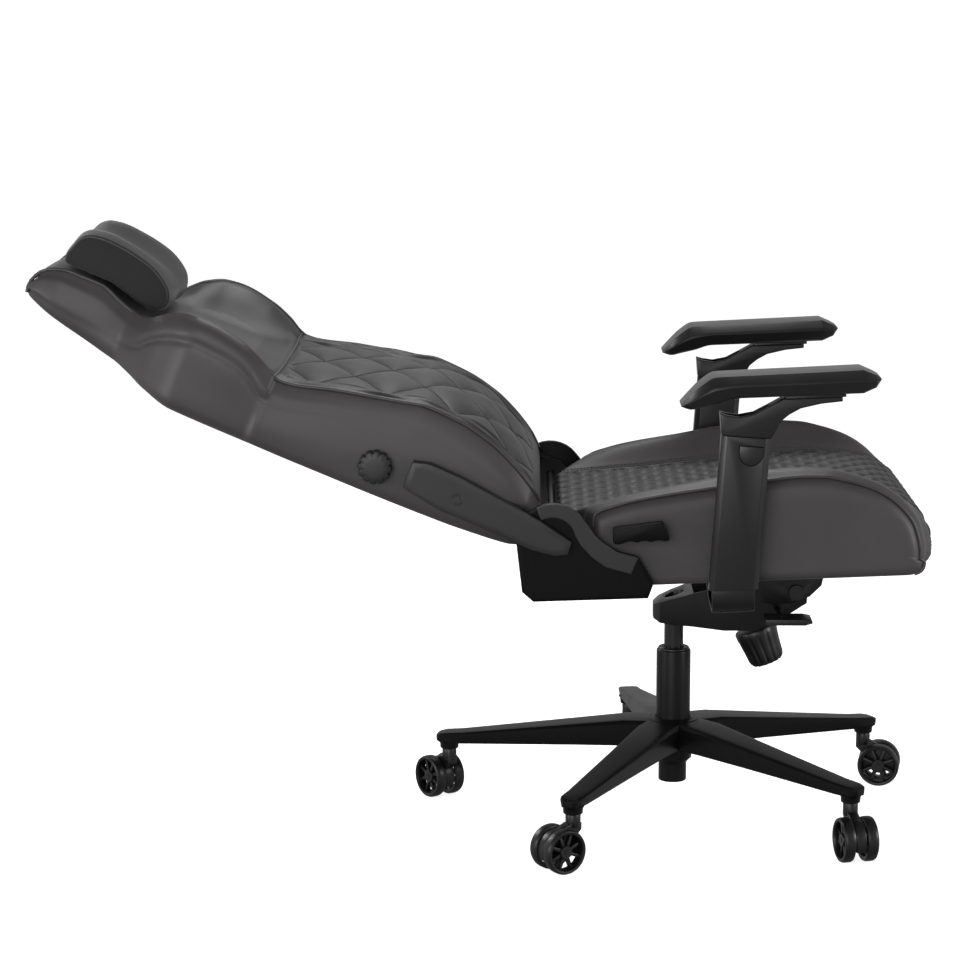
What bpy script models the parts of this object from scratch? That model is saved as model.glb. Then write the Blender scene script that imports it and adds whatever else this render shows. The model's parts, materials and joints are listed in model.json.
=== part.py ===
"""Reclining gaming chair on a five-star base with twin-wheel casters.

Frame: +X is the way the chair faces, +Y its left side, +Z up, floor at z = 0.
The origin is on the floor under the middle of the chair's box, and the column
stands COLUMN_X in front of it. Every group of pieces hangs from an empty:
the column axis, the tilted seat, the reclined back, an arm, a lever or a caster.
"""

import math

import bmesh
import bpy

# ---------------------------------------------------------------- general
COLUMN_X = 0.2815  # column axis, in front of the middle of the chair's box
GAP = 0.0003  # between pieces that touch
RUNNING_GAP = 0.0006  # between pieces that slide or turn
CUT_PAST = 0.010  # how far a bore runs past both faces of its piece
SIDES = (("right", -1), ("left", 1))

# ---------------------------------------------------------------- base
BASE_LEGS = 5
BASE_FIRST_LEG = math.radians(27.2)
STEM_CIRCLE_R = 0.3346
HUB_R = 0.040
HUB_TOP_Z = 0.140
HUB_BOTTOM_Z = 0.079
HUB_COLLAR_R = 0.0278
LEG_ROOT_WIDTH = 0.060
LEG_TIP_WIDTH = 0.034
LEG_TIP_TOP_Z = 0.1035
LEG_TIP_BOTTOM_Z = 0.0880
LEG_ROOT_BOTTOM_Z = 0.0985
LEG_CROWN_R = 0.070  # where a leg's top starts to fall
LEG_CHAMFER_SHARE = 0.20  # of the half width, at a leg's top edges
LEG_SHOULDER_SHARE = 0.16  # of a leg's height, below its top edges
LEG_DRAFT = 0.8  # a leg's underside against its top
LEG_OVERHANG = 0.019  # from the stem axis to the leg's end
SOCKET_R = 0.0135
SOCKET_BOTTOM_Z = 0.0785
SOCKET_DEPTH = 0.019

# ---------------------------------------------------------------- gas lift
COLUMN_R = 0.025
COLUMN_WALL = 0.0062
COLUMN_TOP_Z = 0.243
COLUMN_BOTTOM_Z = 0.0453
COLUMN_FOOT_R = 0.0205
CYLINDER_R = 0.014
CYLINDER_WALL = 0.003
CYLINDER_BOTTOM_Z = 0.075
CYLINDER_TOP_Z = 0.318
PISTON_ROD_R = 0.005
PISTON_Z = 0.186
BEARING_HEIGHT = 0.006
BEARING_CLEARANCE = 0.001
CLIP_THICKNESS = 0.0014

# ---------------------------------------------------------------- casters
WHEEL_R = 0.0315
WHEEL_WIDTH = 0.0165
WHEEL_FACETS = 24
WHEEL_SPOKES = 8
WHEEL_HUB_R = 0.0095
WHEEL_RIM_R = 0.0245
SPOKE_WIDTH = 0.0042
AXLE_R = 0.003
HOOD_WIDTH = 0.0150
HOOD_INSET = 0.003  # the hood's edge inside the wheels' treads
NECK_R = 0.0105
STEM_R = 0.0055
CASTER_TRAIL = 0.025
CASTER_HEADINGS = (-10.0, 0.0, 127.0, 214.0, -77.0)  # degrees, the way each caster trails

# ---------------------------------------------------------------- seat
SEAT_Z = 0.390  # underside of the seat above the column axis
SEAT_TILT = math.radians(2.4)
SEAT_WIDTH = 0.516
SEAT_REAR_X = -0.1285
BOLSTER_WIDTH = 0.085
SEAT_MIDDLE_X = 0.110
SEAT_HALF_LENGTH = 0.230
SEAT_CREST = 0.148
PAN_INSET = 0.060
PAN_THICKNESS = 0.008
PLATE_THICKNESS = 0.004
LUG_Y = 0.088

# ---------------------------------------------------------------- mechanism
HOUSING_WALL = 0.003
HOUSING_HALF_WIDTH = 0.076
HOUSING_DRAFT = 0.8  # the housing's floor against its rim
PIVOT_X = 0.170
PIVOT_Z = 0.346
PIVOT_PIN_R = 0.006
KNOB_X = 0.127
KNOB_Z = 0.2525
KNOB_LEAN = math.radians(21.5)
KNOB_TOP_R = 0.0310
KNOB_END_R = 0.0262
KNOB_FLUTES = 12
KNOB_LOW = 0.031  # from the knob's middle to its end
KNOB_HIGH = 0.024
KNOB_CHAMFER = 0.005
KNOB_COLLAR = 0.006
BOLT_BURIED = 0.010  # how far the bolt goes into the knob
BOLT_HIGH = 0.092
TENSION_BOLT_R = 0.005
SPRING_R = 0.015
SPRING_WIRE_R = 0.0022
SPRING_TURNS = 5
SPRING_LOW = 0.045  # above the knob's middle
SPRING_LENGTH = 0.040
SPRING_FACETS = 10
WIRE_FACETS = 6
LEVER_X = 0.146
LEVER_Z = 0.3155
LEVER_ROD_R = 0.004
LEVER_REACH = 0.152
LEVER_BLADE_WIDTH = 0.045
LEVER_ROD_INSIDE = 0.012  # how far the lever's rod goes into the housing

# ---------------------------------------------------------------- recliner
HINGE_X = -0.177  # in the seat's frame
HINGE_Z = 0.0745
BACK_RECLINE = math.radians(67.7)  # back's lean from upright
BRACKET_THICKNESS = 0.005
HINGE_ARM_THICKNESS = 0.004
HINGE_DISC_R = 0.027
HINGE_ARM_LENGTH = 0.190
SHAFT_R = 0.006
COVER_THICKNESS = 0.007
COVER_R = 0.0505
TRIM_THICKNESS = 0.0036
TRIM_INNER_R = 0.031
ARM_COVER_THICKNESS = 0.0115
RECLINE_HANDLE_THICKNESS = 0.018

# ---------------------------------------------------------------- back
WING_BULGE = 0.0045
HEAD_WIDTH = 0.290
LUMBAR_KNOB_R = 0.0235
LUMBAR_KNOB_LOBES = 12
LUMBAR_KNOB_HEIGHT = 0.018
LUMBAR_KNOB_UP = 0.262
PILLOW_WIDTH = 0.270

# ---------------------------------------------------------------- armrests
ARM_CLEARANCE = 0.013  # from the seat's side to the post
ARM_X = 0.0655
ARM_LEAN = math.radians(6.3)
POST_DEPTH = 0.0665
POST_THICKNESS = 0.034
POST_HEIGHT = 0.211
POST_WALL = 0.0075
STEM_LENGTH = 0.150
STEM_ROOT = 0.004  # how far the stem goes up into the arm
BRACKET_BAR_WIDTH = 0.058
BRACKET_BAR_THICKNESS = 0.006
BRACKET_BEND_R = 0.020
BRACKET_DROP = 0.034  # the bar's lowest middle line below the seat
BRACKET_KNEE = 0.053  # from the seat's side to where the bar starts to rise
BRACKET_INNER_Y = (0.104, 0.150)
BRACKET_UNDER_PAN = 0.002
BRACKET_TIP = 0.001
BRACKET_TIP_ZONE = 0.010
BEND_STEPS = 6
PAD_WIDTH = 0.090
PAD_PLATE_THICKNESS = 0.004
PAD_PIVOT_X = 0.178
BUTTON_WIDTH = 0.032
BUTTON_HEIGHT = 0.026
BUTTON_TRAVEL = 0.002
BUTTON_X = -0.008  # the button's rear edge, from the post's axis
BUTTON_DROP = 0.012  # below the post's top
BUTTON_POCKET = 0.0055
BUTTON_PROUD = 0.0012
STEM_CLEARANCE = 0.006  # under the arm's stem at its lowest
ARM_TOP_Z = 0.2600  # top of the arm, under the pad plate, in the seat's frame

# ---------------------------------------------------------------- worked out
SEAT_HALF = SEAT_WIDTH / 2
ARM_Y = SEAT_HALF + ARM_CLEARANCE + POST_THICKNESS / 2
BRACKET_Y = (SEAT_HALF + GAP, SEAT_HALF + GAP + BRACKET_THICKNESS)
HINGE_ARM_Y = (BRACKET_Y[1] + GAP, BRACKET_Y[1] + GAP + HINGE_ARM_THICKNESS)
COVER_Y = (HINGE_ARM_Y[1] + RUNNING_GAP, HINGE_ARM_Y[1] + RUNNING_GAP + COVER_THICKNESS)
TRIM_Y = (COVER_Y[1] + GAP, COVER_Y[1] + GAP + TRIM_THICKNESS)
ARM_COVER_Y = (TRIM_Y[1] + RUNNING_GAP, TRIM_Y[1] + RUNNING_GAP + ARM_COVER_THICKNESS)
BACK_HALF = HINGE_ARM_Y[0] - GAP
PAN_Z = (-PAN_THICKNESS - GAP, -GAP)
PLATE_Z = (PAN_Z[0] - GAP - PLATE_THICKNESS, PAN_Z[0] - GAP)
HOOD_R = WHEEL_R - HOOD_INSET


# ---------------------------------------------------------------- helpers
def material(name, colour, roughness, metallic=0.0):
    """A plain Principled material."""
    made = bpy.data.materials.new(name)
    made.use_nodes = True
    shader = made.node_tree.nodes["Principled BSDF"]
    shader.inputs["Base Color"].default_value = (*colour, 1.0)
    shader.inputs["Roughness"].default_value = roughness
    shader.inputs["Metallic"].default_value = metallic
    made.diffuse_color = (*colour, 1.0)
    return made


def empty(name, parent=None, location=(0, 0, 0), turn_y=0.0, turn_z=0.0):
    """A frame that pieces hang from, turned about Y and then about Z."""
    frame = bpy.data.objects.new(name, None)
    bpy.context.collection.objects.link(frame)
    frame.parent = parent
    frame.location = location
    frame.rotation_euler = (0.0, turn_y, turn_z)
    return frame


def piece(name, bm, parent, finish, smooth=False):
    """Turns a bmesh into a named object with its faces pointing out."""
    bmesh.ops.recalc_face_normals(bm, faces=bm.faces)
    if bm.calc_volume(signed=True) < 0.0:
        bmesh.ops.reverse_faces(bm, faces=bm.faces)
    mesh = bpy.data.meshes.new(name)
    bm.to_mesh(mesh)
    bm.free()
    if finish:
        mesh.materials.append(finish)
    if smooth:
        mesh.shade_smooth()
        mesh.set_sharp_from_angle(angle=math.radians(35))
    made = bpy.data.objects.new(name, mesh)
    bpy.context.collection.objects.link(made)
    made.parent = parent
    return made


def boolean(target, bm, operation):
    """Cuts or joins a second closed shape, which stays hidden as a guide."""
    guide = piece(f"{target.name}_{operation.lower()}", bm, target.parent, None)
    guide.hide_render = True
    guide.display_type = "WIRE"
    guide.location = target.location
    step = target.modifiers.new(operation.title(), "BOOLEAN")
    step.operation = operation
    step.object = guide
    step.solver = "EXACT"
    return target


def loft(rings, closed=False):
    """Skins closed rings of equal length, with a flat cap at each end."""
    bm = bmesh.new()
    rows = [[bm.verts.new(point) for point in ring] for ring in rings]
    count = len(rows[0])
    pairs = list(zip(rows, rows[1:]))
    if closed:
        pairs.append((rows[-1], rows[0]))
    for low, high in pairs:
        for i in range(count):
            j = (i + 1) % count
            bm.faces.new((low[i], low[j], high[j], high[i]))
    if not closed:
        bm.faces.new(rows[0])
        bm.faces.new(rows[-1])
    return bm


def prism(outline, y_low, y_high):
    """An XZ outline extruded along Y."""
    return loft([[(x, y, z) for x, z in outline] for y in (y_low, y_high)])


def box(x_span, y_span, z_span):
    """A block between three pairs of limits."""
    low = [(x_span[0], z_span[0]), (x_span[1], z_span[0])]
    high = [(x_span[1], z_span[1]), (x_span[0], z_span[1])]
    return prism(low + high, *y_span)


def turned(profile, segments=24, start=0.0):
    """Turns an (r, z) profile about Z; a profile that starts and ends on the axis is solid."""
    bm = bmesh.new()
    solid = profile[0][0] == 0.0
    ends = [bm.verts.new((0, 0, profile[0][1])), bm.verts.new((0, 0, profile[-1][1]))] if solid else []
    walls = profile[1:-1] if solid else profile
    angles = [start + 2 * math.pi * i / segments for i in range(segments)]
    rows = [[bm.verts.new((r * math.cos(a), r * math.sin(a), z)) for a in angles] for r, z in walls]
    pairs = list(zip(rows, rows[1:]))
    if not solid:
        pairs.append((rows[-1], rows[0]))
    for low, high in pairs:
        for i in range(segments):
            j = (i + 1) % segments
            bm.faces.new((low[i], low[j], high[j], high[i]))
    for i in range(segments if solid else 0):
        j = (i + 1) % segments
        bm.faces.new((ends[0], rows[0][j], rows[0][i]))
        bm.faces.new((ends[1], rows[-1][i], rows[-1][j]))
    return bm


def rod(radius, low, high, segments=16):
    """A plain cylinder along Z."""
    return turned([(0.0, low), (radius, low), (radius, high), (0.0, high)], segments)


def ring(inner, outer, low, high, segments=24):
    """A plain tube along Z."""
    return turned([(inner, low), (outer, low), (outer, high), (inner, high)], segments)


def place(bm, location=(0, 0, 0), turn_x=0.0, turn_y=0.0):
    """Turns a bmesh about X, then about Y, then moves it."""
    cx, sx = math.cos(turn_x), math.sin(turn_x)
    cy, sy = math.cos(turn_y), math.sin(turn_y)
    for vert in bm.verts:
        x, y, z = vert.co
        y, z = cx * y - sx * z, sx * y + cx * z
        x, z = cy * x + sy * z, -sy * x + cy * z
        vert.co = (x + location[0], y + location[1], z + location[2])
    return bm


def cross_rod(radius, x, z, y_low, y_high, segments=16):
    """A cylinder along Y."""
    bm = rod(radius, y_low, y_high, segments)
    return place(bm, (x, 0, z), turn_x=-math.pi / 2)


def arc(centre, radius, start, end, steps):
    """Points along an arc, with angles in degrees."""
    angles = [math.radians(start + (end - start) * i / steps) for i in range(steps + 1)]
    return [(centre[0] + radius * math.cos(a), centre[1] + radius * math.sin(a)) for a in angles]


def both(side, span):
    """A pair of distances from the middle, as low and high Y on one side."""
    return sorted((side * span[0], side * span[1]))


def merged(bm, other):
    """Adds a second, separate shape to a cutter."""
    spare = bpy.data.meshes.new("spare")
    other.to_mesh(spare)
    other.free()
    bm.from_mesh(spare)
    bpy.data.meshes.remove(spare)
    return bm


# ---------------------------------------------------------------- base
def leg_section(reach, half_width, low, high):
    """A leg's cross-section: flat underside, chamfered top, at a distance from the axis."""
    chamfer = half_width * LEG_CHAMFER_SHARE
    drop = (high - low) * LEG_SHOULDER_SHARE
    shape = (
        (-half_width * LEG_DRAFT, low),
        (half_width * LEG_DRAFT, low),
        (half_width, high - drop),
        (half_width - chamfer, high),
        (-half_width + chamfer, high),
        (-half_width, high - drop),
    )
    return [(reach, y, z) for y, z in shape]


def leg_shape(heading):
    """One leg from inside the hub to its rounded end."""
    end = STEM_CIRCLE_R + LEG_OVERHANG
    sections = [
        leg_section(COLUMN_R + 0.008, LEG_ROOT_WIDTH / 2, LEG_ROOT_BOTTOM_Z, HUB_TOP_Z - 0.001),
        leg_section(LEG_CROWN_R, LEG_ROOT_WIDTH * 0.48, LEG_ROOT_BOTTOM_Z, HUB_TOP_Z - 0.0025),
        leg_section(STEM_CIRCLE_R - 0.020, LEG_TIP_WIDTH / 2, LEG_TIP_BOTTOM_Z, LEG_TIP_TOP_Z + 0.002),
        leg_section(STEM_CIRCLE_R + 0.008, LEG_TIP_WIDTH * 0.47, LEG_TIP_BOTTOM_Z, LEG_TIP_TOP_Z),
        leg_section(end, LEG_TIP_WIDTH * 0.30, LEG_TIP_BOTTOM_Z + 0.003, LEG_TIP_TOP_Z - 0.004),
    ]
    cosine, sine = math.cos(heading), math.sin(heading)
    rings = []
    for section in sections:
        rings.append([(r * cosine - y * sine, r * sine + y * cosine, z) for r, y, z in section])
    return loft(rings)


def leg_headings():
    """The direction of each leg."""
    return [BASE_FIRST_LEG + 2 * math.pi * i / BASE_LEGS for i in range(BASE_LEGS)]


def build_base(axis, metal):
    """The five-star base: a hub, five legs and a caster socket under each leg's end."""
    hub = [
        (COLUMN_R + GAP, HUB_BOTTOM_Z),
        (HUB_COLLAR_R, HUB_BOTTOM_Z),
        (HUB_COLLAR_R, LEG_ROOT_BOTTOM_Z),
        (HUB_R, LEG_ROOT_BOTTOM_Z + 0.004),
        (HUB_R, HUB_TOP_Z - 0.004),
        (HUB_R - 0.006, HUB_TOP_Z),
        (COLUMN_R + GAP, HUB_TOP_Z),
    ]
    base = piece("five_star_base", turned(hub, 30), axis, metal)
    bores = bmesh.new()
    for heading in leg_headings():
        centre = (STEM_CIRCLE_R * math.cos(heading), STEM_CIRCLE_R * math.sin(heading), 0.0)
        boolean(base, leg_shape(heading), "UNION")
        boolean(base, place(rod(SOCKET_R, SOCKET_BOTTOM_Z, LEG_TIP_BOTTOM_Z + 0.004), centre), "UNION")
        bore = rod(STEM_R + RUNNING_GAP, SOCKET_BOTTOM_Z - 0.01, SOCKET_BOTTOM_Z + SOCKET_DEPTH, 16)
        merged(bores, place(bore, centre))
    return boolean(base, bores, "DIFFERENCE")


# ---------------------------------------------------------------- gas lift
def build_column(axis, steel, plastic, bright):
    """The column tube with its liner and bearing, and the rod that the cylinder rises on."""
    inner = COLUMN_R - COLUMN_WALL
    floor = COLUMN_BOTTOM_Z + 0.004
    hole = PISTON_ROD_R + RUNNING_GAP
    tube = [
        (hole, COLUMN_BOTTOM_Z),
        (COLUMN_FOOT_R, COLUMN_BOTTOM_Z),
        (COLUMN_FOOT_R, HUB_BOTTOM_Z - 0.006),
        (COLUMN_R, HUB_BOTTOM_Z - 0.001),
        (COLUMN_R, COLUMN_TOP_Z),
        (inner, COLUMN_TOP_Z),
        (inner, floor),
        (hole, floor),
    ]
    piece("column_tube", turned(tube, 32), axis, steel, smooth=True)
    bore = CYLINDER_R + RUNNING_GAP
    sleeve = inner - GAP
    liner_foot = COLUMN_BOTTOM_Z + 0.055
    flange = COLUMN_TOP_Z + GAP
    liner = [
        (bore, liner_foot),
        (sleeve, liner_foot),
        (sleeve, flange),
        (COLUMN_R - 0.002, flange),
        (COLUMN_R - 0.003, flange + 0.003),
        (bore, flange + 0.003),
    ]
    piece("column_liner", turned(liner, 28), axis, plastic, smooth=True)
    bearing = floor + GAP
    washer = ring(hole, inner - BEARING_CLEARANCE, bearing, bearing + BEARING_HEIGHT)
    piece("thrust_bearing", washer, axis, bright, smooth=True)
    spindle = empty("spindle_axis", axis)
    collar = bearing + BEARING_HEIGHT + GAP
    foot = COLUMN_BOTTOM_Z - CLIP_THICKNESS - 3 * GAP
    head_r = CYLINDER_R - CYLINDER_WALL - RUNNING_GAP
    rod_profile = [
        (0.0, foot),
        (PISTON_ROD_R, foot),
        (PISTON_ROD_R, collar),
        (inner - 0.004, collar),
        (inner - 0.004, collar + 0.004),
        (PISTON_ROD_R, collar + 0.004),
        (PISTON_ROD_R, PISTON_Z),
        (head_r, PISTON_Z),
        (head_r, PISTON_Z + 0.010),
        (0.0, PISTON_Z + 0.010),
    ]
    piece("piston_rod", turned(rod_profile, 20), spindle, bright, smooth=True)
    clip_top = COLUMN_BOTTOM_Z - GAP
    clip = ring(PISTON_ROD_R + GAP, PISTON_ROD_R + 0.0045, clip_top - CLIP_THICKNESS, clip_top, 16)
    piece("retaining_clip", clip, spindle, bright)
    inside = CYLINDER_R - CYLINDER_WALL
    cylinder = [
        (hole, CYLINDER_BOTTOM_Z),
        (CYLINDER_R, CYLINDER_BOTTOM_Z),
        (CYLINDER_R, CYLINDER_TOP_Z),
        (hole, CYLINDER_TOP_Z),
        (hole, CYLINDER_TOP_Z - 0.006),
        (inside, CYLINDER_TOP_Z - 0.006),
        (inside, CYLINDER_BOTTOM_Z + 0.006),
        (hole, CYLINDER_BOTTOM_Z + 0.006),
    ]
    piece("gas_cylinder", turned(cylinder, 28), axis, steel, smooth=True)


# ---------------------------------------------------------------- casters
def wheel_shape(y_low, y_high):
    """A wheel with flat facets on its tread, open spokes and an axle bore."""
    bm = bmesh.new()
    edges = []

    def loop(points):
        verts = [bm.verts.new((x, y_low, z)) for x, z in points]
        edges.extend(bm.edges.new((verts[i], verts[(i + 1) % len(verts)])) for i in range(len(verts)))

    facet = 360.0 / WHEEL_FACETS
    corner_r = WHEEL_R / math.cos(math.radians(facet / 2))
    loop(arc((0, 0), corner_r, facet / 2 - 90.0, 270.0 - facet / 2, WHEEL_FACETS - 1))
    loop(arc((0, 0), AXLE_R + RUNNING_GAP / 2, 0.0, 324.0, 9))
    pitch = 360.0 / WHEEL_SPOKES
    for i in range(WHEEL_SPOKES):
        middle = pitch * i
        inner = pitch / 2 - math.degrees(math.asin(SPOKE_WIDTH / 2 / WHEEL_HUB_R))
        outer = pitch / 2 - math.degrees(math.asin(SPOKE_WIDTH / 2 / WHEEL_RIM_R))
        hole = arc((0, 0), WHEEL_RIM_R, middle - outer, middle + outer, 2)
        hole += arc((0, 0), WHEEL_HUB_R, middle + inner, middle - inner, 1)
        loop(hole)
    bmesh.ops.triangle_fill(bm, use_beauty=True, use_dissolve=False, edges=edges)
    made = bmesh.ops.extrude_face_region(bm, geom=bm.faces[:])
    for item in made["geom"]:
        if isinstance(item, bmesh.types.BMVert):
            item.co.y = y_high
    return bm


def build_caster(axis, index, heading, plastic):
    """One caster: a hood with its stem and axle, and two wheels that turn on the axle."""
    angle = leg_headings()[index]
    place_at = (STEM_CIRCLE_R * math.cos(angle), STEM_CIRCLE_R * math.sin(angle), 0.0)
    swivel = empty(f"caster_axis_{index + 1}", axis, place_at, turn_z=math.radians(heading))
    centre = (CASTER_TRAIL, WHEEL_R)
    neck_top = SOCKET_BOTTOM_Z - RUNNING_GAP
    neck_low = 2 * WHEEL_R - 0.002
    shoulder = neck_low + 0.005
    outline = arc(centre, HOOD_R, 208.0, 172.0, 3)
    outline += [(-NECK_R + 0.0004, 0.75 * neck_low), (-NECK_R + 0.0004, shoulder), (NECK_R, shoulder)]
    outline += arc(centre, HOOD_R, 92.0, -28.0, 9)
    body = prism(outline, -HOOD_WIDTH / 2, HOOD_WIDTH / 2)
    hood = piece(f"caster_fork_{index + 1}", body, swivel, plastic)
    stem_top = SOCKET_BOTTOM_Z + SOCKET_DEPTH - 0.002
    stem = [
        (0.0, neck_low),
        (NECK_R, neck_low),
        (NECK_R, neck_top),
        (STEM_R, neck_top),
        (STEM_R, stem_top),
        (0.0, stem_top),
    ]
    boolean(hood, turned(stem, 16), "UNION")
    reach = HOOD_WIDTH / 2 + RUNNING_GAP + WHEEL_WIDTH - 0.003
    boolean(hood, cross_rod(AXLE_R, centre[0], centre[1], -reach, reach, 12), "UNION")
    axle = empty(f"wheel_axis_{index + 1}", swivel, (centre[0], 0.0, centre[1]))
    low = HOOD_WIDTH / 2 + RUNNING_GAP
    for side_name, side in SIDES:
        span = both(side, (low, low + WHEEL_WIDTH))
        piece(f"wheel_{index + 1}_{side_name}", wheel_shape(*span), axle, plastic)


# ---------------------------------------------------------------- mechanism
def housing_section(x, half_width, low, high):
    """A station of the tilt housing, narrower at the bottom."""
    foot = half_width * HOUSING_DRAFT
    return [(x, -foot, low), (x, foot, low), (x, half_width, high), (x, -half_width, high)]


def build_mechanism(axis, metal, plastic, bright):
    """The tilt housing on the gas cylinder, its pivot pin, spring, tension knob and lever."""
    stations = [
        (-0.031, 0.014, 0.291, 0.312),
        (-0.022, 0.028, 0.286, 0.317),
        (-0.004, 0.036, 0.284, 0.324),
        (0.026, 0.044, 0.283, 0.334),
        (0.070, 0.060, 0.280, 0.347),
        (0.112, HOUSING_HALF_WIDTH, 0.283, 0.358),
        (0.145, HOUSING_HALF_WIDTH, 0.296, 0.358),
        (0.188, HOUSING_HALF_WIDTH, 0.324, 0.358),
    ]
    housing = piece("tilt_housing", loft([housing_section(*s) for s in stations]), axis, metal)
    pocket = [(x, w - HOUSING_WALL, low + HOUSING_WALL, high + 0.01) for x, w, low, high in stations[3:]]
    last = pocket[-1]
    pocket[-1] = (last[0] - HOUSING_WALL, *last[1:])
    boolean(housing, loft([housing_section(*s) for s in pocket]), "DIFFERENCE")
    knob_place = (KNOB_X, 0.0, KNOB_Z)
    bores = rod(CYLINDER_R + GAP, 0.25, 0.36, 28)
    merged(bores, cross_rod(PIVOT_PIN_R + RUNNING_GAP, PIVOT_X, PIVOT_Z, -0.1, 0.1))
    bolt_bore = rod(TENSION_BOLT_R + RUNNING_GAP, 0.024, 0.052, 12)
    merged(bores, place(bolt_bore, knob_place, turn_y=-KNOB_LEAN))
    merged(bores, cross_rod(LEVER_ROD_R + RUNNING_GAP, LEVER_X, LEVER_Z, -0.09, -0.05, 12))
    boolean(housing, bores, "DIFFERENCE")

    head_y = LUG_Y + PLATE_THICKNESS + RUNNING_GAP
    pin = [(0.0, -head_y - 0.003), (0.011, -head_y - 0.003), (0.011, -head_y), (PIVOT_PIN_R, -head_y)]
    pin += [(PIVOT_PIN_R, head_y), (0.011, head_y), (0.011, head_y + 0.003), (0.0, head_y + 0.003)]
    pin_shape = place(turned(pin, 16), (PIVOT_X, 0.0, PIVOT_Z), turn_x=-math.pi / 2)
    piece("tilt_pivot_pin", pin_shape, axis, bright)

    knob_axis = empty("tension_axis", axis, knob_place, turn_y=-KNOB_LEAN)
    coil = []
    steps = SPRING_FACETS * SPRING_TURNS
    for i in range(steps + 1):
        turn = 2 * math.pi * i / SPRING_FACETS
        height = SPRING_LOW + SPRING_LENGTH * i / steps
        wire = []
        for k in range(WIRE_FACETS):
            a = 2 * math.pi * k / WIRE_FACETS
            radius = SPRING_R + SPRING_WIRE_R * math.cos(a)
            level = height + SPRING_WIRE_R * math.sin(a)
            wire.append((radius * math.cos(turn), radius * math.sin(turn), level))
        coil.append(wire)
    piece("tension_spring", loft(coil), knob_axis, bright)

    profile = [
        (0.0, -KNOB_LOW),
        (KNOB_END_R - KNOB_CHAMFER, -KNOB_LOW),
        (KNOB_END_R, -KNOB_LOW + KNOB_CHAMFER),
        (KNOB_TOP_R, KNOB_HIGH - KNOB_COLLAR),
        (KNOB_TOP_R, KNOB_HIGH),
        (0.0, KNOB_HIGH),
    ]
    knob = piece("tension_knob", turned(profile, 2 * KNOB_FLUTES), knob_axis, plastic)
    boolean(knob, rod(TENSION_BOLT_R + GAP, -BOLT_BURIED, KNOB_HIGH + RUNNING_GAP, 12), "DIFFERENCE")
    piece("tension_bolt", rod(TENSION_BOLT_R, -BOLT_BURIED + GAP, BOLT_HIGH, 12), knob_axis, bright)

    lever_axis = empty("height_lever_axis", axis, (LEVER_X, 0.0, LEVER_Z))
    blade = [(-0.024, 0.0035), (0.032, 0.0035), (0.042, 0.0015)]
    blade += [(0.042, -0.0015), (0.032, -0.0045), (-0.024, -0.0045)]
    inner_end = -LEVER_REACH + LEVER_BLADE_WIDTH
    lever = piece("height_lever", prism(blade, -LEVER_REACH, inner_end), lever_axis, plastic)
    rod_span = (-LEVER_REACH + LEVER_BLADE_WIDTH / 2, -HOUSING_HALF_WIDTH + LEVER_ROD_INSIDE)
    boolean(lever, cross_rod(LEVER_ROD_R, 0.0, 0.0, *rod_span, 12), "UNION")


# ---------------------------------------------------------------- seat
def seat_outline(level):
    """The cushion's side outline: level 0 is the sunk centre, level 1 the raised side bolster."""
    bolster = (
        (SEAT_REAR_X, 0.0),
        (SEAT_REAR_X, 0.052),
        (-0.1275, 0.0840),
        (-0.1248, 0.1040),
        (-0.0560, 0.1223),
        (0.0262, 0.1342),
        (0.0946, 0.1427),
        (0.1627, 0.1482),
        (0.2305, 0.1387),
        (0.2710, 0.1233),
        (0.3046, 0.0983),
        (0.3257, 0.0656),
        (0.3319, 0.0235),
        (0.3206, 0.0),
    )
    centre = (
        (SEAT_REAR_X, 0.0),
        (SEAT_REAR_X, 0.056),
        (HINGE_X + 0.0110, HINGE_Z + 0.0100),
        (HINGE_X + 0.0110, HINGE_Z + 0.0160),
        (-0.0560, 0.0945),
        (0.0262, 0.0990),
        (0.0946, 0.1050),
        (0.1627, 0.1090),
        (0.2305, 0.1095),
        (0.2800, 0.1040),
        (0.3180, 0.0900),
        (0.3420, 0.0640),
        (0.3520, 0.0280),
        (0.3420, 0.0),
    )
    return [(c[0] + level * (b[0] - c[0]), c[1] + level * (b[1] - c[1])) for b, c in zip(bolster, centre)]


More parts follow.
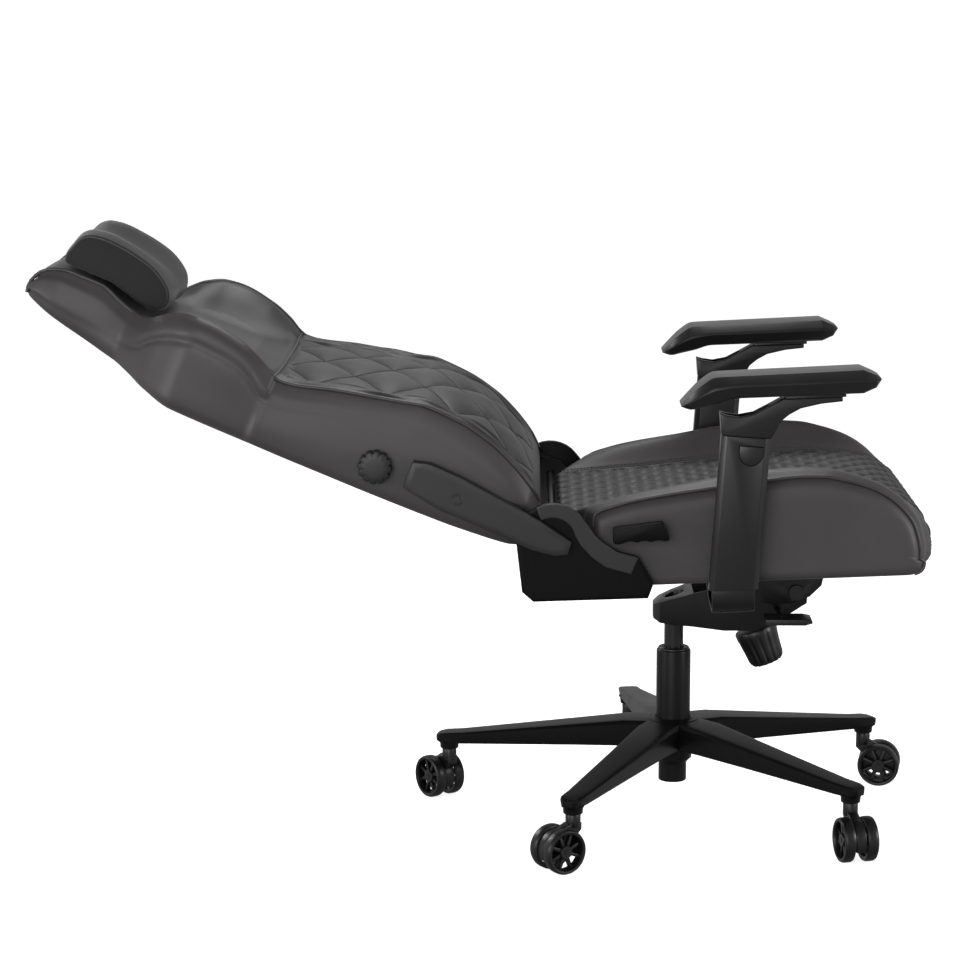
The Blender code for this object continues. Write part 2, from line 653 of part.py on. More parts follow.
def build_seat(seat, leather, steel):
    """The cushion on its pan, and the plate that carries both on the pivot."""
    levels = (
        (SEAT_HALF, 1.0, 0.006),
        (SEAT_HALF - 0.012, 1.0, 0.0),
        (SEAT_HALF - 0.5 * BOLSTER_WIDTH, 0.97, 0.0),
        (SEAT_HALF - BOLSTER_WIDTH, 0.10, 0.0),
        (0.0, 0.0, 0.0),
    )
    rings = []
    for sign, rows in ((-1, levels), (1, levels[-2::-1])):
        for y, level, inset in rows:
            ring_points = []
            for x, z in seat_outline(level):
                pull_x = inset * (x - SEAT_MIDDLE_X) / SEAT_HALF_LENGTH
                pull_z = inset * z / SEAT_CREST
                ring_points.append((x - pull_x, sign * y, z - pull_z))
            rings.append(ring_points)
    piece("seat_cushion", loft(rings), seat, leather, smooth=True)

    pan_x = (SEAT_REAR_X + PAN_INSET, 0.285)
    pan_half = SEAT_HALF - PAN_INSET
    piece("seat_pan", box(pan_x, (-pan_half, pan_half), PAN_Z), seat, steel)

    plate_edge = LUG_Y + PLATE_THICKNESS
    plate = piece("seat_plate", box((-0.020, 0.225), (-plate_edge, plate_edge), PLATE_Z), seat, steel)
    lug = [(0.083, PLATE_Z[0] + 0.002), (0.090, -0.045), (0.106, -0.060), (0.130, -0.0665), (0.158, -0.0665)]
    lug += [(0.186, -0.058), (0.204, -0.042), (0.212, PLATE_Z[0] + 0.002)]
    for _, side in SIDES:
        boolean(plate, prism(lug, *both(side, (LUG_Y, plate_edge))), "UNION")
    slope, lift = math.cos(SEAT_TILT), math.sin(SEAT_TILT)
    pivot_up = PIVOT_Z - SEAT_Z
    pivot = (PIVOT_X * slope + pivot_up * lift, -PIVOT_X * lift + pivot_up * slope)
    boolean(plate, cross_rod(PIVOT_PIN_R + RUNNING_GAP, *pivot, -0.12, 0.12), "DIFFERENCE")


# ---------------------------------------------------------------- recliner
def build_recliner(seat, black, grey, steel, bright):
    """Both hinge brackets with their covers, the shaft between them and the handle."""
    hinge = (HINGE_X, HINGE_Z)
    plate = arc(hinge, HINGE_DISC_R, 0.0, 190.0, 12)
    plate += [(-0.204, 0.030), (-0.204, 0.003), (-0.065, 0.003), (-0.065, 0.040), (-0.118, 0.060)]
    cover = [(-0.2219, 0.0032), (-0.2069, -0.0110), (-0.0499, -0.0122), (-0.0416, 0.0080), (-0.0613, 0.0458)]
    cover += [(-0.0897, 0.0547), (-0.1103, 0.0702), (-0.1195, 0.0794), (-0.1280, 0.0930)]
    cover += arc(hinge, COVER_R, 35.0, 190.0, 12)
    band = [(-0.0613, 0.0458), (-0.0897, 0.0547), (-0.1103, 0.0702), (-0.1195, 0.0794), (-0.1280, 0.0930)]
    band += arc(hinge, COVER_R, 35.0, 114.0, 7)
    band += arc(hinge, TRIM_INNER_R, 120.0, 8.0, 8)
    band += [(-0.1390, 0.0650), (-0.1247, 0.0483), (-0.1061, 0.0340), (-0.0718, 0.0228)]
    for name, side in SIDES:
        bracket = piece(f"recline_bracket_{name}", prism(plate, *both(side, BRACKET_Y)), seat, steel)
        bore_span = both(side, (BRACKET_Y[0] - CUT_PAST, BRACKET_Y[1] + CUT_PAST))
        boolean(bracket, cross_rod(SHAFT_R + GAP, *hinge, *bore_span), "DIFFERENCE")
        shell_span = both(side, (BRACKET_Y[1] + GAP, COVER_Y[1]))
        shell = piece(f"side_cover_{name}", prism(cover, *shell_span), seat, black)
        pocket = box((-0.30, 0.0), both(side, (BRACKET_Y[0], COVER_Y[0])), (0.042, 0.20))
        boolean(shell, pocket, "DIFFERENCE")
        piece(f"cover_trim_{name}", prism(band, *both(side, TRIM_Y)), seat, grey)
    shaft_end = HINGE_ARM_Y[1] - GAP
    piece("recline_shaft", cross_rod(SHAFT_R, *hinge, -shaft_end, shaft_end), seat, bright)

    handle_at = (-0.086, 0.078)
    handle_axis = empty("recline_lever_axis", seat, (handle_at[0], 0.0, handle_at[1]))
    grip = [(-0.009, 0.0095), (0.058, 0.0160), (0.0685, -0.0090)]
    waves = [(0.062 - 0.0058 * i, -0.0100 - 0.0012 * math.cos(math.pi * i / 2)) for i in range(12)]
    grip += waves + [(-0.0075, -0.0115)]
    low = SEAT_HALF + 0.0075
    outline = prism(grip, *both(-1, (low, low + RECLINE_HANDLE_THICKNESS)))
    handle = piece("recline_lever", outline, handle_axis, black)
    boolean(handle, cross_rod(0.007, 0.0, 0.0, -low - 0.004, -SEAT_HALF - GAP, 12), "UNION")


# ---------------------------------------------------------------- back
def back_section(up, half, rear, bolster, centre):
    """A level cut through the back: flat rear, rounded sides, side bolsters and a centre."""
    half_ring = [
        (rear, half * 0.55),
        (rear + 0.003, half - 0.026),
        (rear + 0.016, half - 0.004),
        (rear + (bolster - rear) * 0.5, half),
        (bolster - (bolster - rear) * 0.22, half - 0.003),
        (bolster, half - 0.018),
        (bolster, half - 0.040),
        (centre, half - BOLSTER_WIDTH * min(1.0, half / BACK_HALF)),
        (centre, 0.0),
    ]
    left = [(x, y, up) for x, y in half_ring]
    right = [(x, -y, up) for x, y in half_ring[-2::-1]]
    return [(rear, 0.0, up)] + left + right


def build_back(back, leather, grey, steel):
    """The upholstered back, the hinge arms bolted to its sides and their covers."""
    head = HEAD_WIDTH / 2
    wing = BACK_HALF + WING_BULGE
    sections = (
        (0.030, BACK_HALF - 0.022, -0.0340, 0.0340, 0.0300),
        (0.055, BACK_HALF - 0.004, -0.0385, 0.0526, 0.0520),
        (0.094, BACK_HALF, -0.0415, 0.0743, 0.0780),
        (0.150, BACK_HALF, -0.0440, 0.0930, 0.1020),
        (0.210, BACK_HALF, -0.0450, 0.1004, 0.1105),
        (0.264, BACK_HALF, -0.0450, 0.0924, 0.1000),
        (0.345, BACK_HALF, -0.0440, 0.0752, 0.0780),
        (0.426, BACK_HALF, -0.0425, 0.0568, 0.0560),
        (0.446, BACK_HALF + 0.002, -0.0420, 0.0630, 0.0500),
        (0.500, wing, -0.0405, 0.0855, 0.0460),
        (0.550, wing - 0.002, -0.0395, 0.0925, 0.0460),
        (0.597, wing - 0.033, -0.0325, 0.0788, 0.0470),
        (0.630, head + 0.050, -0.0265, 0.0560, 0.0480),
        (0.660, head + 0.015, -0.0230, 0.0544, 0.0520),
        (0.710, head + 0.003, -0.0130, 0.0690, 0.0660),
        (0.760, head, -0.0020, 0.0690, 0.0660),
        (0.788, head - 0.010, 0.0060, 0.0580, 0.0570),
        (0.806, head - 0.030, 0.0130, 0.0400, 0.0400),
    )
    piece("back_cushion", loft([back_section(*row) for row in sections]), back, leather, smooth=True)

    def upright(points):
        """(up, forward) pairs of the back as XZ outline points."""
        return [(forward, up) for up, forward in points]

    disc = arc((0.0, 0.0), HINGE_DISC_R, 160.0, 380.0, 14)
    plate = disc + [(0.024, HINGE_ARM_LENGTH), (-0.012, HINGE_ARM_LENGTH)]
    tip = [(0.1581, -0.0187), (0.0697, -0.0195), (0.0240, -0.0213), (-0.0090, -0.0170), (-0.0253, -0.0083)]
    tip += [(-0.0234, 0.0088), (0.0269, 0.0195), (0.0886, 0.0265), (0.1179, 0.0300), (0.1502, 0.0337)]
    tip += [(0.1945, 0.0348), (0.2169, 0.0285), (0.2166, -0.0085)]
    sweep = COVER_R + 0.008
    for name, side in SIDES:
        arm = piece(f"hinge_arm_{name}", prism(plate, *both(side, HINGE_ARM_Y)), back, steel)
        bore_span = both(side, (HINGE_ARM_Y[0] - CUT_PAST, HINGE_ARM_Y[1] + CUT_PAST))
        boolean(arm, cross_rod(SHAFT_R + RUNNING_GAP, 0.0, 0.0, *bore_span), "DIFFERENCE")
        depth = both(side, (HINGE_ARM_Y[1] + GAP, ARM_COVER_Y[1]))
        cover = piece(f"arm_cover_{name}", prism(upright(tip), *depth), back, grey)
        sweep_span = both(side, (HINGE_ARM_Y[0], ARM_COVER_Y[0]))
        boolean(cover, cross_rod(sweep, 0.0, 0.0, *sweep_span, 32), "DIFFERENCE")

    knob_axis = empty("lumbar_axis", back, (0.0, 0.0, LUMBAR_KNOB_UP))
    lobes = []
    for i in range(3 * LUMBAR_KNOB_LOBES):
        angle = 2 * math.pi * i / (3 * LUMBAR_KNOB_LOBES)
        radius = LUMBAR_KNOB_R - (0.0022 if i % 3 == 0 else 0.0)
        lobes.append((radius * math.cos(angle), radius * math.sin(angle)))
    low = BACK_HALF + RUNNING_GAP
    piece("lumbar_knob", prism(lobes, *both(-1, (low, low + LUMBAR_KNOB_HEIGHT))), knob_axis, grey)


def build_pillow(back, suede):
    """The head pillow, crowned across its width, in front of the head of the back."""
    outline = (
        (0.0775, 0.7740),
        (0.1184, 0.7640),
        (0.1300, 0.7420),
        (0.1310, 0.7160),
        (0.1200, 0.6570),
        (0.0930, 0.6170),
        (0.0700, 0.6130),
        (0.0610, 0.6300),
        (0.0640, 0.6520),
        (0.0775, 0.6700),
    )
    middle = (0.0900, 0.6950)
    half = PILLOW_WIDTH / 2
    rings = []
    for share, size in ((-1.0, 0.80), (-0.90, 0.93), (-0.5, 1.0), (0.5, 1.0), (0.90, 0.93), (1.0, 0.80)):
        ring_points = []
        for x, z in outline:
            away = (x - middle[0]) * size if x > middle[0] else x - middle[0]
            ring_points.append((middle[0] + away, share * half, middle[1] + (z - middle[1]) * size))
        rings.append(ring_points)
    piece("head_pillow", loft(rings), empty("pillow_axis", back), suede, smooth=True)


# ---------------------------------------------------------------- armrests
def post_outline(thickness_inset, depth_inset):
    """The post's cross-section with chamfered corners."""
    half_x = POST_DEPTH / 2 - depth_inset
    half_y = POST_THICKNESS / 2 - thickness_inset
    chamfer = 0.007 if thickness_inset == 0.0 else 0.002
    quarter = [(half_x, half_y - chamfer), (half_x - chamfer, half_y)]
    ring_points = quarter + [(-x, y) for x, y in quarter[::-1]]
    return ring_points + [(-x, -y) for x, y in ring_points]


def button_outline(margin):
    """The height button: straight across the top, half a circle below, grown by a margin."""
    half = BUTTON_WIDTH / 2
    middle = BUTTON_X + half
    top = POST_HEIGHT - BUTTON_DROP
    shoulder = top - BUTTON_HEIGHT + half
    corners = [(middle - half - margin, top + margin), (middle + half + margin, top + margin)]
    return corners + arc((middle, shoulder), half + margin, 0.0, -180.0, 8)


def build_armrest(seat, name, side, plastic, steel):
    """One armrest: its bracket and post on the seat, the rising arm, its button and the pad."""
    foot = empty(f"arm_axis_{name}", seat, (ARM_X, side * ARM_Y, 0.0), turn_y=ARM_LEAN)
    corners = post_outline(0.0, 0.0)
    level_foot = [(x, y, x * math.tan(ARM_LEAN)) for x, y in corners]
    post_shape = loft([level_foot, [(x, y, POST_HEIGHT) for x, y in corners]])
    post = piece(f"arm_post_{name}", post_shape, foot, plastic)
    bore_floor = POST_HEIGHT - STEM_LENGTH - STEM_CLEARANCE
    bore = post_outline(POST_WALL, POST_WALL)
    bore_rings = [[(x, y, z) for x, y in bore] for z in (bore_floor, POST_HEIGHT + CUT_PAST)]
    boolean(post, loft(bore_rings), "DIFFERENCE")
    face = POST_THICKNESS / 2
    pocket_y = both(side, (face - BUTTON_POCKET, face + BUTTON_POCKET))
    boolean(post, prism(button_outline(RUNNING_GAP), *pocket_y), "DIFFERENCE")
    button_span = both(side, (face - BUTTON_POCKET + BUTTON_TRAVEL + GAP, face + BUTTON_PROUD))
    piece(f"height_button_{name}", prism(button_outline(0.0), *button_span), foot, plastic)

    neck = [(0.0576, 0.2125), (0.0545, 0.2437), (0.0640, 0.2405), (0.0800, 0.2375), (0.1000, 0.2405)]
    neck += [(0.1200, 0.2500), (0.1400, ARM_TOP_Z), (0.2190, ARM_TOP_Z), (0.2190, 0.2536)]
    neck += [(0.1900, 0.2515), (0.1624, 0.2462)]
    neck += [(0.1470, 0.2385), (0.1351, 0.2296), (0.1237, 0.2198)]
    lean_sin, lean_cos = math.sin(ARM_LEAN), math.cos(ARM_LEAN)

    def to_foot(x, z):
        """A point of the seat's frame in the leaning frame of the arm."""
        dx = x - ARM_X
        return (dx * lean_cos - z * lean_sin, dx * lean_sin + z * lean_cos)

    half = POST_THICKNESS / 2
    neck_local = [to_foot(x, z) for x, z in neck]
    base_up = POST_HEIGHT + GAP
    neck_local[0] = (-POST_DEPTH / 2, base_up)
    neck_local[-1] = (POST_DEPTH / 2, base_up)
    riser = piece(f"arm_riser_{name}", prism(neck_local, -half, half), foot, plastic)
    stem = post_outline(POST_WALL + RUNNING_GAP, POST_WALL + RUNNING_GAP)
    stem_levels = (POST_HEIGHT - STEM_LENGTH, POST_HEIGHT + STEM_ROOT)
    boolean(riser, loft([[(x, y, z) for x, y in stem] for z in stem_levels]), "UNION")

    pivot = empty(f"pad_axis_{name}", seat, (PAD_PIVOT_X, side * ARM_Y, ARM_TOP_Z))
    plate_z = (RUNNING_GAP, RUNNING_GAP + PAD_PLATE_THICKNESS)
    plate = box((-0.035, 0.045), (-0.024, 0.024), plate_z)
    piece(f"pad_plate_{name}", plate, pivot, steel)
    build_pad(pivot, name, plate_z[1] + RUNNING_GAP, plastic)
    build_arm_bracket(seat, name, side, steel)


def build_pad(pivot, name, under, plastic):
    """The arm pad: a faceted bar with a chamfered nose and a drooping tail."""
    lift = under - 0.0048
    side_view = [(-0.1760, -0.0020), (-0.1630, -0.0085), (-0.1010, 0.0030), (0.0710, 0.0048)]
    side_view += [(0.0850, 0.0110), (0.0917, 0.0235), (0.0690, 0.0366), (-0.1270, 0.0350)]
    side_view += [(-0.1490, 0.0236)]
    outline = [(x, z + lift) for x, z in side_view]
    outline[2] = (outline[2][0], under)
    outline[3] = (outline[3][0], under)
    half = PAD_WIDTH / 2
    middle = (-0.030, 0.020)
    rings = []
    for y, shrink in ((-half, 0.72), (-half + 0.010, 1.0), (half - 0.010, 1.0), (half, 0.72)):
        ring_points = []
        for x, z in outline:
            dx = x - middle[0]
            inset = (1.0 - shrink) * 0.035
            x_in = middle[0] + dx - math.copysign(min(abs(dx), inset), dx)
            z_in = middle[1] + (z - middle[1]) * shrink
            ring_points.append((x_in, y, max(z_in, z) if z <= under and shrink < 1 else z_in))
        rings.append(ring_points)
    piece(f"arm_pad_{name}", loft(rings), pivot, plastic)


def build_arm_bracket(seat, name, side, steel):
    """A flat steel bar from under the seat pan, out and up to the foot of the post."""
    half = BRACKET_BAR_THICKNESS / 2
    bend = BRACKET_BEND_R
    low = -BRACKET_DROP
    inner_z = PAN_Z[0] - half - GAP - BRACKET_UNDER_PAN
    path = [(ARM_Y, -GAP - BRACKET_TIP)]
    for i in range(1, BEND_STEPS + 1):
        a = math.pi / 2 * i / BEND_STEPS
        path.append((ARM_Y - bend + bend * math.cos(a), low + bend - bend * math.sin(a)))
    path += [(SEAT_HALF - BRACKET_KNEE, low), (BRACKET_INNER_Y[1], inner_z), (BRACKET_INNER_Y[0], inner_z)]
    left, right = [], []
    for i, (y, z) in enumerate(path):
        before, after = path[max(i - 1, 0)], path[min(i + 1, len(path) - 1)]
        dy, dz = after[0] - before[0], after[1] - before[1]
        length = math.hypot(dy, dz)
        ny, nz = -dz / length * half, dy / length * half
        left.append((y + ny, z + nz))
        right.append((y - ny, z - nz))
    outline = left + right[::-1]
    shift = -GAP - max(z for _, z in outline)
    lifted = [(y, min(z + shift, -GAP) if z > -BRACKET_TIP_ZONE else z) for y, z in outline]
    rings = []
    for x in (ARM_X - BRACKET_BAR_WIDTH / 2, ARM_X + BRACKET_BAR_WIDTH / 2):
        rings.append([(x, side * y, z) for y, z in lifted])
    piece(f"arm_bracket_{name}", loft(rings), seat, steel)


# ---------------------------------------------------------------- whole chair
def main():
    """Clears the scene and builds the chair."""
    for old in list(bpy.data.objects):
        bpy.data.objects.remove(old, do_unlink=True)
    leather = material("grey_leather", (0.070, 0.068, 0.069), 0.55)
    suede = material("charcoal_suede", (0.050, 0.049, 0.050), 0.85)
    black_metal = material("black_powder_coat", (0.020, 0.020, 0.021), 0.40, 0.2)
    steel = material("black_steel", (0.035, 0.035, 0.036), 0.40, 0.6)
    bright = material("bright_steel", (0.55, 0.55, 0.56), 0.30, 1.0)
    black = material("black_plastic", (0.018, 0.018, 0.019), 0.50)
    grey = material("grey_plastic", (0.070, 0.069, 0.070), 0.50)
    rubber = material("caster_nylon", (0.016, 0.016, 0.017), 0.45)

    axis = empty("column_axis", None, (COLUMN_X, 0.0, 0.0))
    build_base(axis, black_metal)
    build_column(axis, black_metal, black, bright)
    for index, heading in enumerate(CASTER_HEADINGS):
        build_caster(axis, index, heading, rubber)
    build_mechanism(axis, steel, black, bright)

    seat = empty("seat_axis", axis, (0.0, 0.0, SEAT_Z), turn_y=-SEAT_TILT)
    build_seat(seat, leather, steel)
    build_recliner(seat, black, grey, steel, bright)
    back = empty("back_axis", seat, (HINGE_X, 0.0, HINGE_Z), turn_y=SEAT_TILT - BACK_RECLINE)
    build_back(back, leather, grey, steel)
    build_pillow(back, suede)
    for name, side in SIDES:
        build_armrest(seat, name, side, black, steel)


main()
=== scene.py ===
"""Looks of the reclining gaming chair: upholstery, castings, covers, armrests and casters.

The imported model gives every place. The seat and everything on it share the seat's frame,
the back and the pillow share the back's frame, and the base, lift and casters use the
chair's own axes. All lengths are in metres.
"""

import json
import logging
import math
from dataclasses import dataclass
from enum import Enum

import bpy
import numpy as np
from mathutils import Matrix, Vector


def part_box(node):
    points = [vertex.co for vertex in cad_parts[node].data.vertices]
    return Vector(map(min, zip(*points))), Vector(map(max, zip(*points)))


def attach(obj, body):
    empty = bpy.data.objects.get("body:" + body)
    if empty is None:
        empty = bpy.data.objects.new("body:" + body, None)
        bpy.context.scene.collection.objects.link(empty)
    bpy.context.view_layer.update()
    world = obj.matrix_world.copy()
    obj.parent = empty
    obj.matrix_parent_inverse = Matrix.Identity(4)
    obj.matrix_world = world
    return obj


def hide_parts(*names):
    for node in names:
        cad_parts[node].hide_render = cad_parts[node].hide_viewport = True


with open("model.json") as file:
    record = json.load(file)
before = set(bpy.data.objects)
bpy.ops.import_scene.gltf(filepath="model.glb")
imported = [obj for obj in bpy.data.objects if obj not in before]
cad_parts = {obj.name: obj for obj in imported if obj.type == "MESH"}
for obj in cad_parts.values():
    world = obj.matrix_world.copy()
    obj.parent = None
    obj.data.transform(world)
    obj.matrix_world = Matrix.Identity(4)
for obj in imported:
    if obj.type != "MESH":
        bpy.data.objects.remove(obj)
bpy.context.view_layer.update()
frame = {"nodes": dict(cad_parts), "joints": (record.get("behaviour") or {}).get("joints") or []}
LOG = logging.getLogger("chair")
SIDES = (("right", -1), ("left", 1))
MM = 0.001
TINY = 1e-6
SHARP = 28.0
MERGE = 1e-5


class Slot(Enum):
    """The record's material slots."""

    LEATHER = "leather"
    SUEDE = "suede"
    BLACK_METAL = "black_metal"
    BLACK_STEEL = "black_steel"
    BLACK_PLASTIC = "black_plastic"
    GREY_PLASTIC = "grey_plastic"
    CASTER_NYLON = "caster_nylon"


# ------------------------------------------------------------------ finishes
def linear(hex_colour: str) -> tuple:
    """Turns an sRGB hex colour into linear RGBA.

    Args:
        hex_colour: Six hex digits, such as "4a4849".

    Returns:
        Linear red, green, blue and an alpha of 1.
    """
    channels = [int(hex_colour[i:i + 2], 16) / 255 for i in (0, 2, 4)]
    return (*[c / 12.92 if c <= 0.04045 else ((c + 0.055) / 1.055) ** 2.4 for c in channels], 1.0)


def add_node(tree: bpy.types.NodeTree, kind: str, inputs: dict | None = None, **settings) -> bpy.types.Node:
    """Adds a shader node with its settings, and sets or links its inputs.

    Args:
        tree: The material's node tree.
        kind: The node's Blender type name.
        inputs: Socket names or numbers, each with a value or with a socket to link from.
        **settings: Attributes of the node.

    Returns:
        The new node.
    """
    made = tree.nodes.new(kind)
    for key, value in settings.items():
        setattr(made, key, value)
    for key, value in (inputs or {}).items():
        if isinstance(value, bpy.types.NodeSocket):
            tree.links.new(value, made.inputs[key])
        else:
            made.inputs[key].default_value = value
    return made


@dataclass(frozen=True)
class Finish:
    """A material with a two-tone mottle and a fine surface grain.

    The mottle is the slow change of colour over the surface, and the grain is its texture.
    """

    name: str
    colour: str
    tone: str
    roughness: float
    metallic: float = 0.0
    mottle_mm: float = 60.0
    grain_mm: float = 1.0
    grain_depth_mm: float = 0.05
    roughness_spread: float = 0.06
    sheen: float = 0.0
    specular: float = 0.5

    def grain(self, tree: bpy.types.NodeTree, place: bpy.types.NodeSocket) -> bpy.types.NodeSocket:
        """Returns the height of the surface grain, here the even speckle of a moulded or sprayed face."""
        inputs = {"Vector": place, "Scale": 1 / (self.grain_mm * MM), "Detail": 3.0}
        return add_node(tree, "ShaderNodeTexNoise", inputs).outputs["Fac"]

    def build(self) -> bpy.types.Material:
        """Makes the material once, and gives the same one again after that.

        Returns:
            The Blender material.
        """
        found = bpy.data.materials.get(self.name)
        if found:
            return found
        made = bpy.data.materials.new(self.name)
        made.use_nodes = True
        tree = made.node_tree
        shader = tree.nodes["Principled BSDF"]
        place = add_node(tree, "ShaderNodeTexCoord").outputs["Object"]
        clouds = {"Vector": place, "Scale": 1 / (self.mottle_mm * MM), "Detail": 4.0}
        cloud = add_node(tree, "ShaderNodeTexNoise", clouds)
        mix = add_node(tree, "ShaderNodeMix", {"Factor": cloud.outputs["Fac"]}, data_type="RGBA")
        mix.inputs["A"].default_value = linear(self.colour)
        mix.inputs["B"].default_value = linear(self.tone)
        tree.links.new(mix.outputs["Result"], shader.inputs["Base Color"])
        spread = {"Value": cloud.outputs["Fac"], "To Min": self.roughness - self.roughness_spread}
        spread["To Max"] = self.roughness + self.roughness_spread
        rough = add_node(tree, "ShaderNodeMapRange", spread)
        tree.links.new(rough.outputs["Result"], shader.inputs["Roughness"])
        relief = {"Height": self.grain(tree, place), "Distance": self.grain_depth_mm * MM, "Strength": 1.0}
        bump = add_node(tree, "ShaderNodeBump", relief)
        tree.links.new(bump.outputs["Normal"], shader.inputs["Normal"])
        shader.inputs["Metallic"].default_value = self.metallic
        shader.inputs["Sheen Weight"].default_value = self.sheen
        shader.inputs["Sheen Roughness"].default_value = 0.4
        shader.inputs["Specular IOR Level"].default_value = self.specular
        return made


@dataclass(frozen=True)
class Leather(Finish):
    """Coated leather, embossed with a pebble grain: rounded cells with narrow valleys between them."""

    def grain(self, tree: bpy.types.NodeTree, place: bpy.types.NodeSocket) -> bpy.types.NodeSocket:
        """Returns pebbles from the distance to cell edges, broken up by noise."""
        scale = 1 / (self.grain_mm * MM)
        spots = {"Vector": place, "Scale": scale}
        cells = add_node(tree, "ShaderNodeTexVoronoi", spots, feature="SMOOTH_F1")
        noise = add_node(tree, "ShaderNodeTexNoise", {"Vector": place, "Scale": scale / 3, "Detail": 3.0})
        inputs = {0: cells.outputs["Distance"], 1: noise.outputs["Fac"]}
        return add_node(tree, "ShaderNodeMath", inputs, operation="ADD").outputs[0]


@dataclass(frozen=True)
class Suede(Finish):
    """Brushed microfibre: a dense nap, lighter where it is combed one way."""

    def grain(self, tree: bpy.types.NodeTree, place: bpy.types.NodeSocket) -> bpy.types.NodeSocket:
        """Returns a nap stretched along one direction."""
        comb = add_node(tree, "ShaderNodeMapping", {"Vector": place, "Scale": (1.0, 2.5, 1.0)})
        inputs = {"Vector": comb.outputs["Vector"], "Scale": 1 / (self.grain_mm * MM), "Detail": 8.0}
        return add_node(tree, "ShaderNodeTexNoise", inputs).outputs["Fac"]


@dataclass(frozen=True)
class Brushed(Finish):
    """Drawn or turned steel: scratches along one direction."""

    def grain(self, tree: bpy.types.NodeTree, place: bpy.types.NodeSocket) -> bpy.types.NodeSocket:
        """Returns fine lines across the Z direction."""
        stretch = add_node(tree, "ShaderNodeMapping", {"Vector": place, "Scale": (1.0, 1.0, 12.0)})
        inputs = {"Vector": stretch.outputs["Vector"], "Scale": 1 / (self.grain_mm * MM), "Detail": 2.0}
        return add_node(tree, "ShaderNodeTexNoise", inputs).outputs["Fac"]


# Polyurethane leather, calendered: a soft sheen, pebbles too fine to see drawn at 1.4 mm.
LEATHER = Leather(
    "pu_leather_grey", "3e3b3c", "454243", 0.50, grain_mm=1.4, grain_depth_mm=0.035, sheen=0.06,
)
# The same leather on the raised panels of the quilting, with a little less sheen and painted darker: painted
# shade on the faces that turn up and forward, away from the light.
SHADED_QUILT_LEATHER = Leather(
    "pu_leather_quilted_painted_shade", "242223", "2a2829", 0.50, grain_mm=1.4, grain_depth_mm=0.045, sheen=0.05,
)
# Leather cord cover of the piping, stretched tight and so glossier.
PIPING = Leather("pu_leather_piping", "3a3839", "444243", 0.38, grain_mm=1.2, grain_depth_mm=0.02)
# Bonded polyester thread, dull.
THREAD = Finish(
    "polyester_thread", "4c4a4b", "565455", 0.70, mottle_mm=8.0, grain_mm=0.4, grain_depth_mm=0.1,
)
# Microfibre suede, brushed: no gloss, mottled by its nap.
SUEDE = Suede(
    "microfibre_suede", "202021", "2c2c2d", 0.93, mottle_mm=22.0, grain_mm=0.7, grain_depth_mm=0.12,
    sheen=0.25,
)
# Powder coat on a die-cast base: satin, with faint orange peel.
POWDER_COAT = Finish(
    "powder_coat_black", "0b0b0c", "101011", 0.36, grain_mm=2.2, grain_depth_mm=0.03, specular=0.20,
)
# Wet paint on pressed steel: smoother and glossier than powder.
STEEL_PAINT = Finish(
    "steel_paint_black", "0e0e0f", "131314", 0.32, grain_mm=3.0, grain_depth_mm=0.015, specular=0.45,
)
# Glass-filled nylon, moulded with a spark-eroded texture.
NYLON = Finish("nylon_black", "0a0a0b", "0f0f10", 0.38, grain_mm=0.8, grain_depth_mm=0.03)
# Polypropylene mouldings of the armrests, satin.
ARM_PLASTIC = Finish("polypropylene_satin", "111112", "161617", 0.30, grain_mm=0.8, grain_depth_mm=0.025)
# Self-skinned polyurethane of the arm pads: soft to touch, low gloss.
PAD_SKIN = Leather("pu_foam_skin", "151516", "1b1b1c", 0.33, grain_mm=1.6, grain_depth_mm=0.03, sheen=0.05)
# Dark grey ABS of the covers and the lumbar knob.
GREY_ABS = Finish(
    "abs_dark_grey", "232324", "29292a", 0.38, grain_mm=0.8, grain_depth_mm=0.03, specular=0.40,
)
# Black ABS of the recliner's side covers; it also stands as painted shade on the faces inside the arm
# risers' cups.
BLACK_ABS_AND_CUP_SHADE = Finish("abs_black_and_cup_shade", "070708", "0a0a0b", 0.38, grain_mm=0.8, grain_depth_mm=0.03, specular=0.12)
# Zinc-plated steel: pins, rod, bolt and spring.
ZINC = Brushed(
    "zinc_plated_steel", "a6a6a8", "b4b4b6", 0.32, metallic=1.0, grain_mm=1.5, grain_depth_mm=0.01,
)
# Bare brushed plate on top of the tilt housing.
TOP_PLATE = Brushed(
    "brushed_steel_plate", "8c8c8e", "999a9b", 0.38, metallic=0.6, grain_mm=1.5, grain_depth_mm=0.01,
)


# ------------------------------------------------------------------ places
def joint(name: str) -> dict:
    """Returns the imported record's joint of that name."""
    return next(entry for entry in frame["joints"] if entry["name"] == name)


def upright_place(origin: Vector, z_axis: Vector) -> Matrix:
    """A frame whose z is given and whose y is the chair's left.

    Args:
        origin: Its origin, in the chair's frame.
        z_axis: Its z direction, square to the chair's left.

    Returns:
        The matrix that takes local points to the chair's frame.
    """
    z = Vector(z_axis).normalized()
    y = Vector((0.0, 1.0, 0.0))
    turned = Matrix((y.cross(z), y, z)).transposed().to_4x4()
    return Matrix.Translation(Vector(origin)) @ turned


def joint_place(name: str, z_axis: Vector | None = None) -> Matrix:
    """A frame at a joint, with z along its axis or along another given direction."""
    found = joint(name)
    return upright_place(Vector(found["pos_m"]), Vector(z_axis or found["axis"]))


PAD_PIVOT = Vector((0.178, -0.288, 0.260))
ARM_Y = 0.288
COLUMN = Matrix.Translation((joint("seat_swivel")["pos_m"][0], 0.0, 0.0))
PAD_PLACE = {name: joint_place(f"pad_swivel_{name}") for name, _ in SIDES}
SEAT = PAD_PLACE["right"] @ Matrix.Translation(-PAD_PIVOT)
SEAT_UP = Vector(joint("pad_swivel_right")["axis"])
BACK = joint_place("back_recline", Vector(joint("pillow_slide")["axis"]))
HANDLE = joint_place("recline_release", SEAT_UP)
LUMBAR = joint_place("lumbar_turn", Vector(joint("pillow_slide")["axis"]))
TENSION = joint_place("tension_turn")


